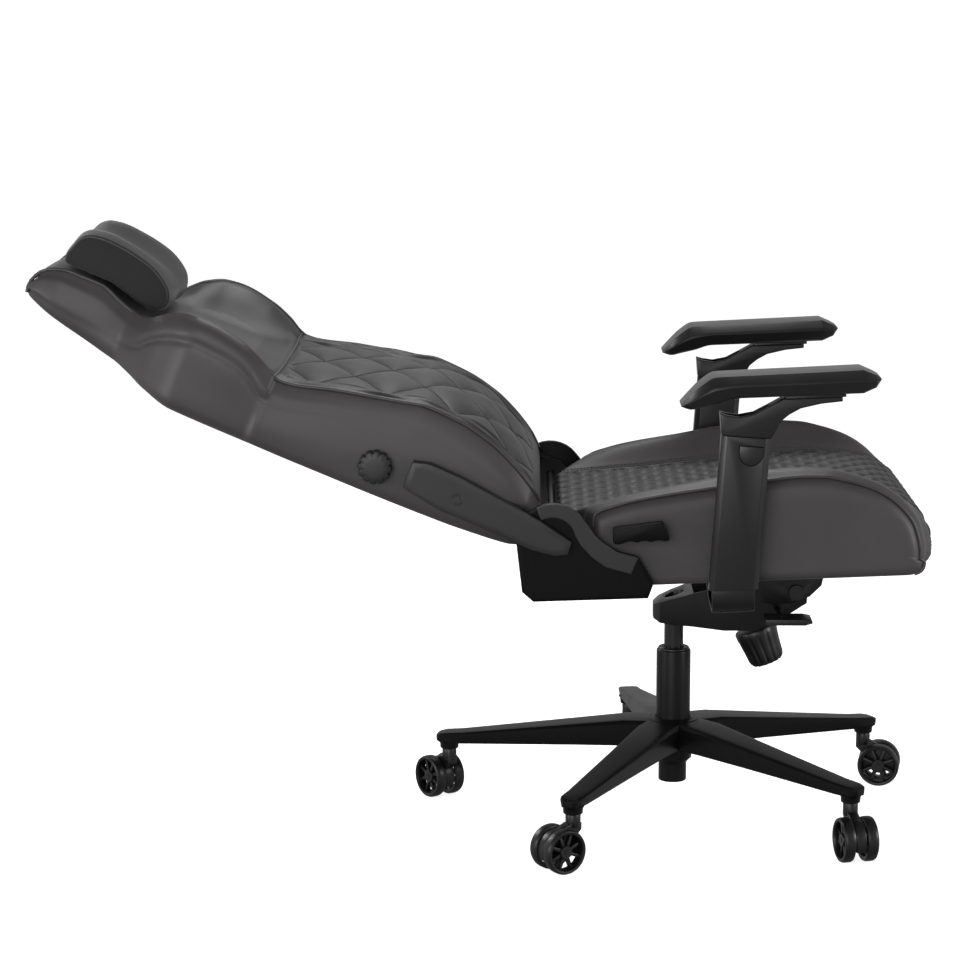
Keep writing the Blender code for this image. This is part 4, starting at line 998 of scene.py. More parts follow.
# ------------------------------------------------------------------ seat
@dataclass
class SeatUpholstery:
    """The seat: a quilted middle, raised bolsters at the sides and flat side panels."""

    half: float = 0.2575
    around: int = 250
    pitch_y: float = 0.0036
    quilt_pitch: tuple = (0.036, 0.045)
    quilt_half: float = 0.170
    quilt_puff: float = 0.0052
    piping_r: float = 0.0024
    side_inset: float = 0.0115
    bolster: tuple = (
        (-0.1285, 0.0), (-0.1295, 0.052), (-0.1248, 0.1010), (-0.0900, 0.1150), (-0.0560, 0.1223),
        (0.0262, 0.1342), (0.0946, 0.1427), (0.1627, 0.1482), (0.2000, 0.1460), (0.2305, 0.1387),
        (0.2710, 0.1233), (0.3046, 0.0983), (0.3257, 0.0656), (0.3318, 0.0300), (0.3300, 0.0110),
        (0.3220, 0.0025), (0.3090, 0.0),
    )
    centre: tuple = (
        (-0.1285, 0.0), (-0.1285, 0.050), (-0.1400, 0.0660), (-0.1610, 0.0820), (-0.1665, 0.0875),
        (-0.1610, 0.0915), (-0.1300, 0.0925), (-0.0900, 0.0935), (-0.0560, 0.0945), (0.0262, 0.1000),
        (0.0946, 0.1050), (0.1627, 0.1090), (0.2000, 0.1100), (0.2305, 0.1095), (0.2800, 0.1040),
        (0.3180, 0.0900), (0.3420, 0.0640), (0.3515, 0.0300), (0.3490, 0.0110), (0.3400, 0.0025),
        (0.3260, 0.0),
    )
    mid_line: tuple = ((-0.080, 0.040), (0.250, 0.050))

    def level(self, share: np.ndarray) -> np.ndarray:
        """How far the outline has risen from the centre's to the bolster's, by share of the half width."""
        return smooth_step(0.655, 0.845, share)

    def rings(self) -> tuple:
        """Rings across the seat, and how far each is closed in on its side panel."""
        centre = rounded_line(list(self.centre), self.around)
        bolster = rounded_line(list(self.bolster), self.around)
        edge = self.half - self.side_inset
        count = int(2 * edge / self.pitch_y)
        stations = [(y, 0.0) for y in np.linspace(-edge, edge, count)]
        closing = [1 - (1 - s) ** 2 for s in np.linspace(0.0, 1.0, 26)[1:]]
        stations = [(-edge, s) for s in closing[::-1]] + stations + [(edge, s) for s in closing]
        rings, shut = [], []
        low, high = np.array(self.mid_line[0]), np.array(self.mid_line[1])
        for y, close in stations:
            level = float(self.level(np.array(abs(y) / self.half)))
            points = centre + level * (bolster - centre)
            crown = 0.0050 * math.sin(math.pi * min(1.0, max(0.0, (abs(y) - 0.175) / (edge - 0.175))))
            outward = points - np.array([0.110, 0.045])
            outward /= np.linalg.norm(outward, axis=1, keepdims=True)
            points = points + outward * crown * (points[:, 1:] > 0.02)
            fall = 0.0060 * smooth_step(edge - 0.024, edge, np.array(abs(y)))
            points = points - outward * fall * (points[:, 1:] > 0.02)
            if close:
                along = np.clip((points[:, 0] - low[0]) / (high[0] - low[0]), 0, 1)[:, None]
                goal = low + along * (high - low)
                points = points + (goal - points) * close * 0.97
                bulge = self.side_inset * math.sqrt(1 - (1 - min(1.0, close / 0.30)) ** 2)
                y = math.copysign(edge + bulge, y)
            rings.append([(x, y, z) for x, z in points])
            shut.append(close)
        return np.array(rings), np.array(shut)

    def relief(self, rings: np.ndarray, shut: np.ndarray) -> np.ndarray:
        """How far each point stands out: diamonds, seams and soft folds."""
        x, y, z = (rings[..., k] for k in range(3))
        steps = np.linalg.norm(np.diff(rings[rings.shape[0] // 2], axis=0), axis=1)
        run = np.concatenate(([0.0], np.cumsum(steps)))
        along = np.broadcast_to(run, x.shape)
        down, out = self.quilt_pitch
        first, second = along / down + y / out, along / down - y / out
        cell = np.abs(np.sin(np.pi * first) * np.sin(np.pi * second))
        top = smooth_step(0.075, 0.110, along) * smooth_step(run[-1] - 0.004, run[-1] - 0.03, along)
        inside = smooth_step(0.0, 0.006, self.quilt_half - np.abs(y)) * top
        puff = self.quilt_puff * (cell**0.45 - 0.5) * inside
        seam = -0.0030 * ridge(np.abs(y) - self.quilt_half - 0.003, 0.0035) * top
        free = (shut == 0.0)[:, None]
        slack = 0.0012 * folds(20 * x, 34 * np.abs(y), 1.1)
        slack = slack * smooth_step(0.175, 0.200, np.abs(y)) * free * top
        side = 0.0007 * folds(18 * x, 26 * z, 2.2) * (shut > 0.15)[:, None]
        return puff * free + seam * free + slack + side

    def build(self) -> None:
        """Makes the seat's cover, the piping of its side panels and the bolster stitching."""
        rings, shut = self.rings()
        sheet = Sheet(rings)
        sheet.push(self.relief(rings, shut), outwards=BackUpholstery.outwards(sheet))
        sheet.rings[..., 2] = np.maximum(sheet.rings[..., 2], 0.0003)
        cover = sheet.build("seat_upholstery", SEAT)
        hand_over(cover, LEATHER, "seat", Slot.LEATHER, "seat_cushion")
        free = np.where(shut == 0.0)[0]
        for name, side, row in (("right", -1, free[0]), ("left", 1, free[-1])):
            line = sheet.rings[row][4:-3]
            points = [SEAT @ Vector((x + 0.0004, y + side * 0.0014, z + 0.0012)) for x, y, z in line]
            hand_over(tube(f"seat_piping_{name}", points, self.piping_r), PIPING, "seat", Slot.LEATHER)
        y = sheet.rings[:, 0, 1]
        centres = face_centres(cover, SEAT)
        # Painted shade: the quilted top faces take the darker copy of the leather.
        quilted = (np.abs(centres[:, 1]) < self.quilt_half + 0.003) & (centres[:, 2] > 0.02)
        second_finish(cover, SHADED_QUILT_LEATHER, quilted)
        for name, side in SIDES:
            row = int(np.argmin(np.abs(y - side * (self.quilt_half + 0.0035))))
            points = [SEAT @ Vector((px, py, pz + 0.0014)) for px, py, pz in sheet.rings[row][22:-4]]
            hand_over(tube(f"seat_bolster_piping_{name}", points, 0.0017), PIPING, "seat", Slot.LEATHER)
        lines = []
        for _, side in SIDES:
            for offset in (0.0075, 0.0100):
                row = int(np.argmin(np.abs(y - side * (self.quilt_half + offset))))
                line = sheet.rings[row][26:-6].copy()
                line[:, 2] += 0.0003
                lines.append(line)
        hand_over(stitches("seat_bolster_stitching", lines, SEAT), THREAD, "seat", Slot.LEATHER)


# ------------------------------------------------------------------ base and lift
def drawn(
    name: str, sections: list, bevel: float = 0.0, segments: int = 3, angle: float = SHARP
) -> bpy.types.Object:
    """A section extruded from station to station, changing on the way.

    Args:
        name: The object's name.
        sections: The same number of points at each station.
        bevel: The width of the rounding of its edges.
        segments: Steps of the rounding.
        angle: Edges sharper than this are rounded.

    Returns:
        The new object, in local coordinates.
    """
    start_fresh()
    bpy.ops.mesh.primitive_circle_add(vertices=len(sections[0]), fill_type="NGON")
    made = bpy.context.object
    made.name = name
    for vert, point in zip(made.data.vertices, sections[0]):
        vert.co = point
    take(made, editing=True)
    before = [Vector(point) for point in sections[0]]
    for section in sections[1:]:
        bpy.ops.mesh.extrude_region_move(TRANSFORM_OT_translate={"value": (0.0, 0.0, 0.0)})
        bpy.ops.object.mode_set(mode="OBJECT")
        for vert in (v for v in made.data.vertices if v.select):
            nearest = min(range(len(before)), key=lambda i: (before[i] - vert.co).length)
            vert.co = section[nearest]
        before = [Vector(point) for point in section]
        bpy.ops.object.mode_set(mode="EDIT")
    bpy.ops.object.mode_set(mode="OBJECT")
    clean(made)
    return rounded(made, bevel, segments, angle) if bevel else made


@dataclass
class StarBase:
    """The five-legged die-cast base and the column that stands in it."""

    legs: int = 5
    first_heading: float = 27.2
    stem_circle: float = 0.3346
    hub_r: float = 0.0405
    hub_top: float = 0.140
    column_r: float = 0.025
    stations: tuple = (
        (0.0300, 0.0300, 0.0985, 0.1392),
        (0.0700, 0.0292, 0.0985, 0.1378),
        (0.1500, 0.0250, 0.0955, 0.1272),
        (0.3146, 0.0172, 0.0882, 0.1056),
        (0.3400, 0.0162, 0.0880, 0.1036),
        (0.3490, 0.0128, 0.0890, 0.1018),
        (0.3530, 0.0075, 0.0905, 0.0995),
    )

    def leg(self, number: int) -> bpy.types.Object:
        """One leg: a flat top with bevelled edges on drafted walls."""
        sections = []
        for reach, half, low, high in self.stations:
            drop = 0.14 * (high - low)
            ring = ((0.78, low), (0.84, low + 0.3 * drop), (1.0, high - drop))
            ring += ((0.86, high - 0.1 * drop), (0.60, high))
            right = [(reach, half * share, z) for share, z in ring]
            left = [(x, -y, z) for x, y, z in right[::-1]]
            sections.append(right + left)
        made = drawn("leg", sections)
        made.data.transform(Matrix.Rotation(self.heading(number), 4, "Z"))
        return made

    def heading(self, number: int) -> float:
        """The direction of a leg, in radians."""
        return math.radians(self.first_heading) + math.tau * number / self.legs

    def build(self) -> None:
        """Makes the casting and the parts of the lift that show."""
        hub = [
            (self.column_r + 0.0003, 0.0790), (0.0266, 0.0790), (0.0278, 0.0802), (0.0278, 0.0960),
            (0.0330, 0.1000), (0.0392, 0.1030), (self.hub_r, 0.1060), (self.hub_r, 0.1350),
            (0.0395, 0.1382), (0.0370, self.hub_top), (0.0300, self.hub_top), (0.0285, 0.1412),
            (0.0262, 0.1412), (self.column_r + 0.0003, 0.1402),
        ]
        star = turned("star_base_casting", hub, 60)
        socket = [(0.0, 0.0786), (0.0128, 0.0786), (0.0135, 0.0793)]
        socket += [(0.0140, 0.0860), (0.0165, 0.0905), (0.0, 0.0905)]
        for number in range(self.legs):
            combine(star, self.leg(number))
            angle = self.heading(number)
            cup = turned("socket", socket, 32)
            spot = (self.stem_circle * math.cos(angle), self.stem_circle * math.sin(angle), 0)
            cup.data.transform(Matrix.Translation(spot))
            combine(star, cup)
        clean(star, MERGE)
        rounded(star, 0.0016, 3, 30.0)
        star.data.transform(COLUMN)
        hand_over(shaded(star, 40.0), POWDER_COAT, "base", Slot.BLACK_METAL, "five_star_base")
        self.column()

    def column(self) -> None:
        """Makes the column tube, its liner's lip and the gas cylinder."""
        r = self.column_r
        tube_profile = [
            (0.0056, 0.0453), (0.0195, 0.0453), (0.0205, 0.0463), (0.0205, 0.0725), (0.0245, 0.0772),
            (r, 0.0780), (r, 0.2405), (0.0246, 0.2420), (0.0238, 0.2430), (0.0188, 0.2430),
            (0.0188, 0.0493), (0.0056, 0.0493),
        ]
        sleeve = turned("column_tube_sleeve", tube_profile, 72)
        sleeve.data.transform(COLUMN)
        hand_over(shaded(sleeve, 30.0), POWDER_COAT, "base", Slot.BLACK_METAL, "column_tube")
        liner_profile = [
            (0.0146, 0.1003), (0.0185, 0.1003), (0.0185, 0.2433), (0.0230, 0.2433), (0.0228, 0.2450),
            (0.0216, 0.2463), (0.0156, 0.2463), (0.0146, 0.2455),
        ]
        liner = turned("column_liner_sleeve", liner_profile, 72)
        liner.data.transform(COLUMN)
        hand_over(shaded(liner, 30.0), NYLON, "base", Slot.BLACK_PLASTIC, "column_liner")
        cylinder_profile = [
            (0.0056, 0.0750), (0.0130, 0.0750), (0.0140, 0.0760), (0.0140, 0.3172), (0.0132, 0.3180),
            (0.0056, 0.3180), (0.0056, 0.3120), (0.0110, 0.3120), (0.0110, 0.0810), (0.0056, 0.0810),
        ]
        cylinder = turned("gas_cylinder_tube", cylinder_profile, 72)
        cylinder.data.transform(COLUMN)
        hand_over(shaded(cylinder, 30.0), STEEL_PAINT, "mechanism", Slot.BLACK_METAL, "gas_cylinder")
        for node in ("thrust_bearing", "piston_rod", "retaining_clip"):
            keep_node(node, ZINC)


@dataclass
class Casters:
    """Five casters: each a hood between two spoked wheels."""

    count: int = 5
    trail: float = 0.025
    wheel_r: float = 0.0315
    wheel_width: float = 0.0165
    spokes: int = 8
    hood_half: float = 0.0075
    hood_r: float = 0.0285
    gap: float = 0.0006

    def wheel(self) -> bpy.types.Object:
        """One wheel along Y, its inner face at y = 0."""
        w = self.wheel_width
        tyre = [
            (0.0248, 0.0022), (0.0288, 0.0004), (0.0304, 0.0012), (0.0313, 0.0034), (self.wheel_r, 0.0062),
            (self.wheel_r, w - 0.0062), (0.0313, w - 0.0034), (0.0303, w - 0.0010), (0.0288, w - 0.0001),
            (0.0262, w - 0.0006), (0.0252, w - 0.0024), (0.0248, w - 0.0050),
        ]
        boss = [(0.0033, 0.0020), (0.0096, 0.0020), (0.0100, 0.0030)]
        boss += [(0.0100, w - 0.0045), (0.0090, w - 0.0030), (0.0033, w - 0.0030)]
        parts = [turned("tyre", tyre, 64), turned("boss", boss, 40)]
        for number in range(self.spokes):
            half = 0.0021
            outline = [(0.0085, -half * 1.15), (0.0254, -half), (0.0254, half), (0.0085, half * 1.15)]
            spoke = slab("spoke", outline, (0.0040, w - 0.0052), 0.0007, 2)
            spoke.data.transform(Matrix.Rotation(math.tau * (number + 0.5) / self.spokes, 4, "Y"))
            parts.append(spoke)
        for part in parts[:2]:
            across(part)
        made = parts[0]
        for part in parts[1:]:
            combine(made, part)
        return shaded(clean(made, MERGE), 35.0)

    def hood(self) -> bpy.types.Object:
        """One hood with its fender, neck and stem, trailing along X."""
        centre = (self.trail, self.wheel_r)
        outline = arc(centre, self.hood_r, 208.0, 150.0, 8)
        outline += [(-0.0101, 0.0560), (-0.0101, 0.0660), (0.0105, 0.0660)]
        outline += arc(centre, self.hood_r, 92.0, -28.0, 24) + arc(centre, 0.0150, -28.0, -150.0, 10)
        body = slab("hood", outline, (-self.hood_half, self.hood_half), 0.0016, 3)
        stem = [(0.0, 0.0600), (0.0102, 0.0600), (0.0105, 0.0606), (0.0105, 0.0765)]
        stem += [(0.0098, 0.0779), (0.0055, 0.0779), (0.0055, 0.0955), (0.0, 0.0955)]
        combine(body, turned("neck", stem, 40))
        reach = self.hood_half + self.gap + self.wheel_width - 0.0024
        axle = across(turned("axle", [(0.0, -reach), (0.0030, -reach), (0.0030, reach), (0.0, reach)], 24))
        axle.data.transform(Matrix.Translation((self.trail, 0.0, self.wheel_r)))
        combine(body, axle)
        return shaded(clean(body, MERGE), 35.0)

    def build(self) -> None:
        """Models one wheel and one hood, and sets copies of them at every leg."""
        wheel, hood = self.wheel(), self.hood()
        for number in range(1, self.count + 1):
            stem = Vector(joint(f"caster_turn_{number}")["pos_m"])
            axle = Vector(joint(f"wheel_roll_{number}_left")["pos_m"])
            stem.z = 0.0
            trail = Vector((axle.x, axle.y, 0.0)) - stem
            place = Matrix.Translation(stem) @ Matrix.Rotation(math.atan2(trail.y, trail.x), 4, "Z")
            made = copied(hood, f"caster_hood_{number}")
            made.data.transform(place)
            hand_over(made, NYLON, f"caster_{number}", Slot.CASTER_NYLON, f"caster_fork_{number}")
            for name, side in SIDES:
                made = copied(wheel, f"caster_wheel_{number}_{name}")
                if side < 0:
                    made.data.transform(Matrix.Scale(-1, 4, (0, 1, 0)))
                    made.data.flip_normals()
                shift = Matrix.Translation((self.trail, side * (self.hood_half + self.gap), self.wheel_r))
                made.data.transform(place @ shift)
                hand_over(made, NYLON, f"wheel_{number}_{name}", Slot.CASTER_NYLON, f"wheel_{number}_{name}")
        for spare in (wheel, hood):
            bpy.data.objects.remove(spare, do_unlink=True)


# ------------------------------------------------------------------ mechanism
@dataclass
class Mechanism:
    """The tilt housing under the seat with its knob, lever, spring and pin."""

    knob_flutes: int = 14
    flute_depth: float = 0.0020
    flute_top: float = 0.0160
    flute_from_r: float = 0.018

    def knob(self) -> bpy.types.Object:
        """The fluted tension knob, tapering to its end."""
        profile = [(0.0, -0.0310), (0.0165, -0.0310), (0.0215, -0.0302), (0.0246, -0.0272)]
        profile += [(0.0262, -0.0220), (0.0273, -0.0090), (0.0292, 0.0060), (0.0309, 0.0155)]
        profile += [(0.0310, 0.0215), (0.0301, 0.0235), (0.0272, 0.0240)]
        profile += [(0.0053, 0.0240), (0.0053, -0.0100), (0.0, -0.0100)]
        made = turned("tension_knob_grip", profile, 12 * self.knob_flutes)
        for vert in made.data.vertices:
            radius = math.hypot(vert.co.x, vert.co.y)
            if radius > self.flute_from_r and vert.co.z < self.flute_top:
                angle = math.atan2(vert.co.y, vert.co.x)
                groove = abs(math.sin(0.5 * self.knob_flutes * angle)) ** 6
                depth = self.flute_depth * groove * min(1.0, (self.flute_top - vert.co.z) / 0.006)
                vert.co.x *= 1 - depth / radius
                vert.co.y *= 1 - depth / radius
        return made

    def build(self) -> None:
        """Makes the mechanism's pieces."""
        housing = refined("tilt_housing", "tilt_housing_casting", 0.0028, 4, 20.0)
        hand_over(housing, STEEL_PAINT, "mechanism", Slot.BLACK_STEEL, "tilt_housing")
        upright = np.array([face.normal.z > 0.8 for face in housing.data.polygons])
        centres = face_centres(housing, COLUMN)
        second_finish(housing, TOP_PLATE, upright & (centres[:, 0] < 0.030) & (centres[:, 2] > 0.300))
        knob = self.knob()
        knob.data.transform(TENSION)
        hand_over(shaded(knob, 40.0), NYLON, "tension", Slot.BLACK_PLASTIC, "tension_knob")
        lever = refined("height_lever", "height_lever_paddle", 0.0012, 3, 25.0)
        hand_over(lever, NYLON, "height_lever", Slot.BLACK_PLASTIC, "height_lever")
        plate = refined("seat_plate", "seat_plate_pressing", 0.0012, 3, 25.0)
        hand_over(plate, STEEL_PAINT, "seat", Slot.BLACK_STEEL, "seat_plate")
        pan = refined("seat_pan", "seat_pan_pressing", 0.0030, 3, 25.0)
        hand_over(pan, STEEL_PAINT, "seat", Slot.BLACK_STEEL, "seat_pan")
        keep_node("tilt_pivot_pin", STEEL_PAINT)
        for node in ("tension_spring", "tension_bolt"):
            keep_node(node, ZINC)


# ------------------------------------------------------------------ recliner
@dataclass
class Recliner:
    """The hinge between the seat and the back: covers, trims, handle and lumbar knob."""

    border: float = 0.0085
    border_drop: float = 0.0058
    lobes: int = 12
    knob_r: float = 0.0235
    knob_height: float = 0.018
    grip_low: float = 0.2655
    grip_depth: float = 0.018

    def bordered(self, made: bpy.types.Object, side: int, border: float, drop: float) -> bpy.types.Object:
        """Insets the outer face of a cover and sinks the border round it."""
        edge = max(side * vert.co.y for vert in made.data.vertices)
        take(made, editing=True)
        bpy.ops.mesh.select_all(action="DESELECT")
        bpy.ops.object.mode_set(mode="OBJECT")
        for face in made.data.polygons:
            face.select = side * face.normal.y > 0.99 and side * face.center.y > edge - 1e-4
        outer = {i for face in made.data.polygons if face.select for i in face.vertices}
        bpy.ops.object.mode_set(mode="EDIT")
        bpy.ops.mesh.inset(thickness=border)
        bpy.ops.object.mode_set(mode="OBJECT")
        for i in outer:
            vert = made.data.vertices[i]
            if not vert.select:
                vert.co.y -= side * drop
        return made

    def handle(self) -> bpy.types.Object:
        """The recline handle: a flat grip with finger scallops below."""
        grip = [(-0.0085, 0.0095), (0.0575, 0.0158), (0.0600, 0.0150)]
        grip += [(0.0680, -0.0065), (0.0672, -0.0090), (0.0640, -0.0098)]
        for i in range(1, 49):
            grip.append((0.0620 - 0.0012 * i, -0.0108 + 0.0022 * abs(math.sin(math.pi * i / 16))))
        grip += [(-0.0010, -0.0125), (-0.0075, -0.0115), (-0.0092, -0.0090)]
        low, high = self.grip_low, self.grip_low + self.grip_depth
        made = slab("recline_handle_grip", grip, both(-1, (low, high)), 0.0018, 3)
        inner, seat_side = -low - 0.004, -0.2583
        boss = turned("boss", [(0.0, inner), (0.0070, inner), (0.0070, seat_side), (0.0, seat_side)], 32)
        return combine(made, across(boss))

    def knob(self) -> bpy.types.Object:
        """The lobed lumbar knob with a domed face."""
        low = 0.26390
        top = low + self.knob_height
        r = self.knob_r
        profile = [(0.0, low), (r - 0.0015, low), (r, low + 0.0015), (r, top - 0.0050)]
        profile += [(r - 0.0012, top - 0.0022), (r - 0.0042, top - 0.0008)]
        profile += [(0.0120, top - 0.0002), (0.0, top)]
        made = turned("lumbar_knob_grip", profile, 12 * self.lobes)
        for vert in made.data.vertices:
            radius = math.hypot(vert.co.x, vert.co.y)
            if radius > 0.80 * self.knob_r:
                angle = math.atan2(vert.co.y, vert.co.x)
                groove = (0.5 + 0.5 * math.cos(self.lobes * angle)) ** 4
                share = 1 - 0.0026 * groove * min(1.0, (radius / self.knob_r - 0.80) / 0.12) / radius
                vert.co.x *= share
                vert.co.y *= share
        made.data.transform(Matrix.Scale(-1, 4, (0, 0, 1)))
        made.data.flip_normals()
        return across(made)

    def build(self) -> None:
        """Makes the recliner's pieces on both sides."""
        for name, side in SIDES:
            keep_node(f"recline_bracket_{name}", STEEL_PAINT)
            keep_node(f"hinge_arm_{name}", STEEL_PAINT)
            covers = (
                ("side_cover", 0.0060, 0.0032, 0.0008, BLACK_ABS_AND_CUP_SHADE, "seat", Slot.BLACK_PLASTIC),
                ("cover_trim", 0.0022, 0.0012, 0.0006, GREY_ABS, "seat", Slot.GREY_PLASTIC),
                ("arm_cover", self.border, self.border_drop, 0.0009, GREY_ABS, "backrest",
                 Slot.GREY_PLASTIC),
            )
            for cover, border, drop, bevel, finish, body, slot in covers:
                node = f"{cover}_{name}"
                made = self.bordered(flat_copy(node, f"{node}_moulding"), side, border, drop)
                hand_over(shaded(rounded(made, bevel, 2)), finish, body, slot, node)
            self.cap(name, side)
        keep_node("recline_shaft", STEEL_PAINT)
        handle = self.handle()
        handle.data.transform(HANDLE)
        handle = shaded(clean(handle, MERGE))
        hand_over(handle, BLACK_ABS_AND_CUP_SHADE, "recline_lever", Slot.BLACK_PLASTIC, "recline_lever")
        knob = self.knob()
        knob.data.transform(LUMBAR)
        knob = shaded(clean(knob, MERGE), 40.0)
        hand_over(knob, GREY_ABS, "lumbar_knob", Slot.GREY_PLASTIC, "lumbar_knob")

    def cap(self, name: str, side: int) -> None:
        """The round screw cap on an arm cover."""
        outer = abs(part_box(f"arm_cover_{name}")[0 if side < 0 else 1].y)
        profile = [(0.0, outer - 0.002), (0.0080, outer - 0.002), (0.0080, outer + 0.0002)]
        profile += [(0.0072, outer + 0.0010), (0.0058, outer + 0.0010)]
        profile += [(0.0052, outer + 0.0004), (0.0, outer + 0.0004)]
        made = turned(f"arm_cover_cap_{name}", profile, 40)
        if side < 0:
            made.data.transform(Matrix.Scale(-1, 4, (0, 0, 1)))
            made.data.flip_normals()
        across(made)
        made.data.transform(BACK @ Matrix.Translation((0.004, 0.0, 0.1425)))
        hand_over(shaded(clean(made, MERGE)), GREY_ABS, "backrest", Slot.GREY_PLASTIC)


# ------------------------------------------------------------------ armrests
@dataclass
class Armrests:
    """Both armrests: steel bracket, post, rising arm, button, plate and pad."""

    cup: tuple = (0.0880, 0.2520)
    cup_size: tuple = (0.0350, 0.0142, 0.0250)
    stations: tuple = (
        (-0.1760, 0.029, -0.0045, -0.0010),
        (-0.1630, 0.037, -0.0085, 0.0112),
        (-0.1490, 0.042, -0.0055, 0.0236),
        (-0.1270, 0.045, -0.0010, 0.0352),
        (-0.1010, 0.045, 0.0052, 0.0356),
        (0.0000, 0.045, 0.0052, 0.0364),
        (0.0680, 0.044, 0.0054, 0.0370),
        (0.0850, 0.040, 0.0120, 0.0290),
        (0.0917, 0.034, 0.0215, 0.0250),
    )

    def pad(self) -> bpy.types.Object:
        """One pad along X: a flat top between chamfers, and sides that fall inwards."""
        table = np.array(self.stations)
        tail = np.linspace(table[0, 0], table[4, 0], 14)
        places = np.concatenate((tail, table[5:, 0]))
        widths, lows, highs = (through(list(zip(table[:, 0], table[:, k])), places) for k in (1, 2, 3))
        sections = []
        for x, half, low, high in zip(places, widths, lows, highs):
            deep = high - low
            ring = ((0.66, low), (0.80, low + 0.10 * deep), (1.0, low + 0.56 * deep))
            ring += ((0.97, low + 0.66 * deep), (0.70, high))
            right = [(x, half * share, z) for share, z in ring]
            sections.append(right + [(x, -y, z) for x, y, z in right[::-1]])
        made = drawn("pad", sections, 0.0020, 3, 20.0)
        return shaded(made, 40.0)

    def build(self) -> None:
        """Makes both armrests."""
        pad = self.pad()
        for name, side in SIDES:
            twin = copied(pad, f"arm_pad_{name}_cushion")
            twin.data.transform(PAD_PLACE[name])
            hand_over(twin, PAD_SKIN, f"pad_{name}", Slot.BLACK_PLASTIC, f"arm_pad_{name}")
            post = refined(f"arm_post_{name}", f"arm_post_{name}_moulding", 0.0022, 4, 25.0)
            hand_over(post, ARM_PLASTIC, "seat", Slot.BLACK_PLASTIC, f"arm_post_{name}")
            riser = refined(f"arm_riser_{name}", f"arm_riser_{name}_moulding", 0.0020, 4, 22.0)
            start_fresh()
            bpy.ops.mesh.primitive_uv_sphere_add(segments=48, ring_count=24, radius=1.0)
            bowl = bpy.context.object
            middle = (self.cup[0], side * ARM_Y, self.cup[1])
            stretch = Matrix.Diagonal((*self.cup_size, 1.0))
            bowl.data.transform(SEAT @ Matrix.Translation(middle) @ stretch)
            shaded(combine(riser, bowl, "DIFFERENCE"), 35.0)
            hand_over(riser, ARM_PLASTIC, f"arm_{name}", Slot.BLACK_PLASTIC, f"arm_riser_{name}")
            # Painted shade: the faces inside the cup take the darker, less glossy black so that the hollow
            # reads as shaded.
            away = (face_centres(riser, SEAT) - middle) / self.cup_size
            second_finish(riser, BLACK_ABS_AND_CUP_SHADE, np.linalg.norm(away, axis=1) < 1.03)
            button = refined(f"height_button_{name}", f"height_button_{name}_moulding", 0.0006, 3)
            hand_over(button, ARM_PLASTIC, f"button_{name}", Slot.BLACK_PLASTIC, f"height_button_{name}")
            plate = refined(f"pad_plate_{name}", f"pad_plate_{name}_pressing", 0.0008, 2)
            hand_over(plate, STEEL_PAINT, f"plate_{name}", Slot.BLACK_STEEL, f"pad_plate_{name}")
            bracket = refined(f"arm_bracket_{name}", f"arm_bracket_{name}_bar", 0.0010, 3, 35.0)
            hand_over(bracket, STEEL_PAINT, "seat", Slot.BLACK_STEEL, f"arm_bracket_{name}")
        bpy.data.objects.remove(pad, do_unlink=True)


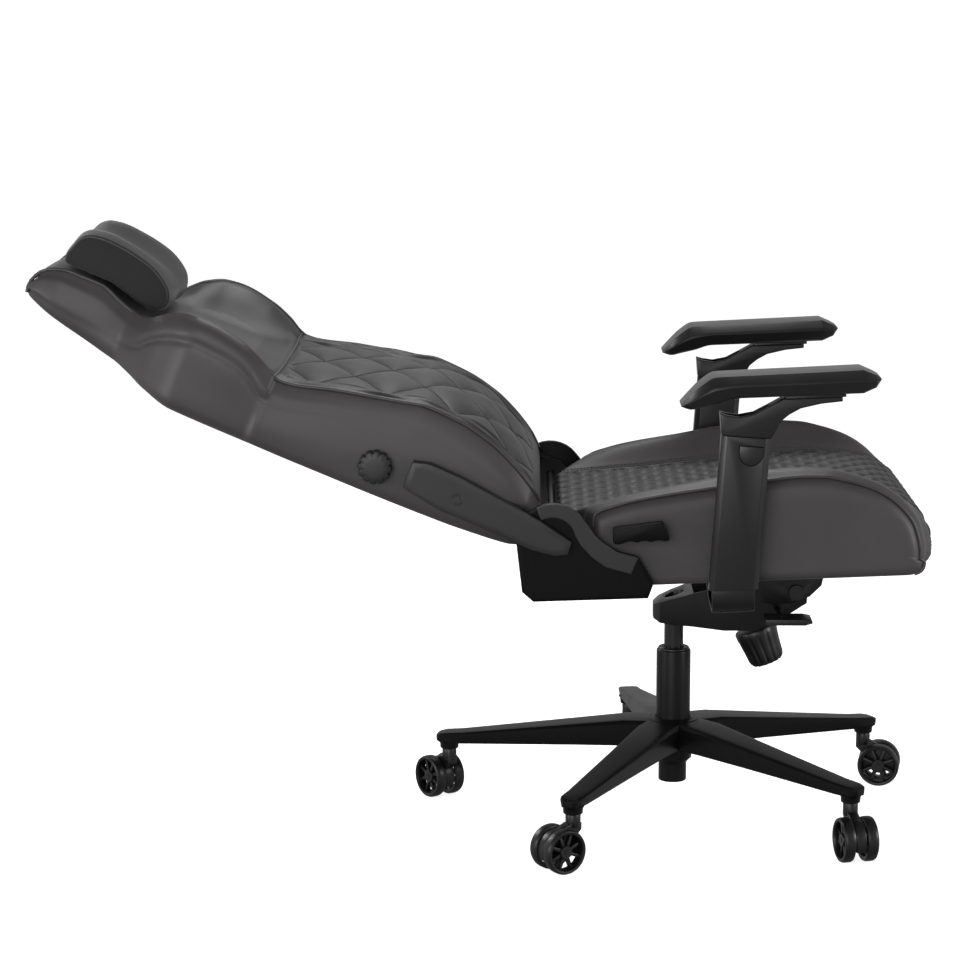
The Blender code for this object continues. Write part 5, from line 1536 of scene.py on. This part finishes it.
# ------------------------------------------------------------------ studio
@dataclass
class Studio:
    """The floor, the lights and the camera."""

    floor_r: float = 90.0
    rim: float = 9.0
    lens: float = 109.56
    paper_glow: float = 0.82
    zenith: float = 0.20
    horizon: float = 0.50
    fade: tuple = (0.05, 0.75)

    def lamp(self, name: str, place: tuple, aim: tuple, size: float, power: float) -> None:
        """Adds a square soft light aimed at a point."""
        data = bpy.data.lights.new(name, "AREA")
        data.size = size
        data.energy = power
        lamp = bpy.data.objects.new(name, data)
        lamp.location = place
        lamp.rotation_euler = (Vector(aim) - Vector(place)).to_track_quat("-Z", "Y").to_euler()
        bpy.context.scene.collection.objects.link(lamp)

    def build(self) -> None:
        """Sets up the pale floor, the soft lights and the view."""
        start_fresh()
        bpy.ops.mesh.primitive_circle_add(vertices=96, radius=self.floor_r, fill_type="NGON")
        floor = bpy.context.object
        floor.name = "floor"
        take(floor, editing=True)
        bpy.ops.mesh.extrude_region_move(TRANSFORM_OT_translate={"value": (0.0, 0.0, -self.rim)})
        bpy.ops.mesh.select_all(action="SELECT")
        bpy.ops.transform.translate(value=(0.0, 0.0, self.rim))
        bpy.ops.mesh.select_all(action="DESELECT")
        bpy.ops.object.mode_set(mode="OBJECT")
        top = [face.index for face in floor.data.polygons if face.center.z > 0.99 * self.rim]
        for face in floor.data.polygons:
            face.select = face.index in top
        bpy.ops.object.mode_set(mode="EDIT")
        bpy.ops.mesh.delete(type="ONLY_FACE")
        bpy.ops.object.mode_set(mode="OBJECT")
        floor.visible_diffuse = False
        floor.visible_glossy = False
        paper = PAPER.build()
        shader = paper.node_tree.nodes["Principled BSDF"]
        shader.inputs["Emission Color"].default_value = (1.0, 1.0, 1.0, 1.0)
        shader.inputs["Emission Strength"].default_value = self.paper_glow
        floor.data.materials.append(paper)
        world = bpy.data.worlds.new("studio")
        world.use_nodes = True
        tree = world.node_tree
        place = add_node(tree, "ShaderNodeTexCoord").outputs["Generated"]
        height = add_node(tree, "ShaderNodeSeparateXYZ", {0: place}).outputs["Z"]
        level = add_node(tree, "ShaderNodeMath", {0: height}, operation="ABSOLUTE").outputs[0]
        limits = {"Value": level, "From Min": self.fade[0], "From Max": self.fade[1]}
        limits.update({"To Min": self.horizon, "To Max": self.zenith})
        dim = add_node(tree, "ShaderNodeMapRange", limits, interpolation_type="SMOOTHSTEP")
        tree.links.new(dim.outputs["Result"], tree.nodes["Background"].inputs["Strength"])
        tree.nodes["Background"].inputs["Color"].default_value = (1.0, 1.0, 1.0, 1.0)
        scene = bpy.context.scene
        scene.world = world
        scene.view_settings.view_transform = "Standard"
        self.lamp("top_light", (0.2, 1.1, 2.4), (0.0, 0.0, 0.4), 0.9, 18.0)
        self.lamp("rim_light", (-2.1, 1.8, 1.7), (0.0, 0.0, 0.5), 0.7, 26.0)
        self.lamp("front_fill", (-0.9, -3.6, 1.2), (0.0, 0.0, 0.45), 2.0, 46.0)
        self.lamp("right_edge", (2.6, -1.0, 0.9), (0.2, 0.0, 0.4), 0.6, 22.0)
        self.lamp("left_edge", (-2.6, -1.3, 0.8), (0.1, 0.0, 0.4), 0.6, 18.0)
        data = bpy.data.cameras.new("camera")
        data.lens = self.lens
        camera = bpy.data.objects.new("camera", data)
        camera.location = COLUMN @ Vector((-0.2115, -4.242, 1.218))
        camera.rotation_euler = (math.radians(80.17), 0.0, math.radians(0.85))
        scene.collection.objects.link(camera)
        scene.camera = camera


# Matt backdrop paper, white.
PAPER = Finish(
    "backdrop_paper", "f4f4f4", "f7f7f7", 0.95, mottle_mm=400.0, grain_mm=4.0, grain_depth_mm=0.02,
)


def main() -> None:
    """Builds the chair's pieces in order."""
    logging.basicConfig(level=logging.INFO, format="%(name)s: %(message)s")
    BackUpholstery().build()
    HeadPillow().build()
    SeatUpholstery().build()
    StarBase().build()
    Casters().build()
    Mechanism().build()
    Recliner().build()
    Armrests().build()
    Studio().build()


if __name__ == "__main__":
    main()
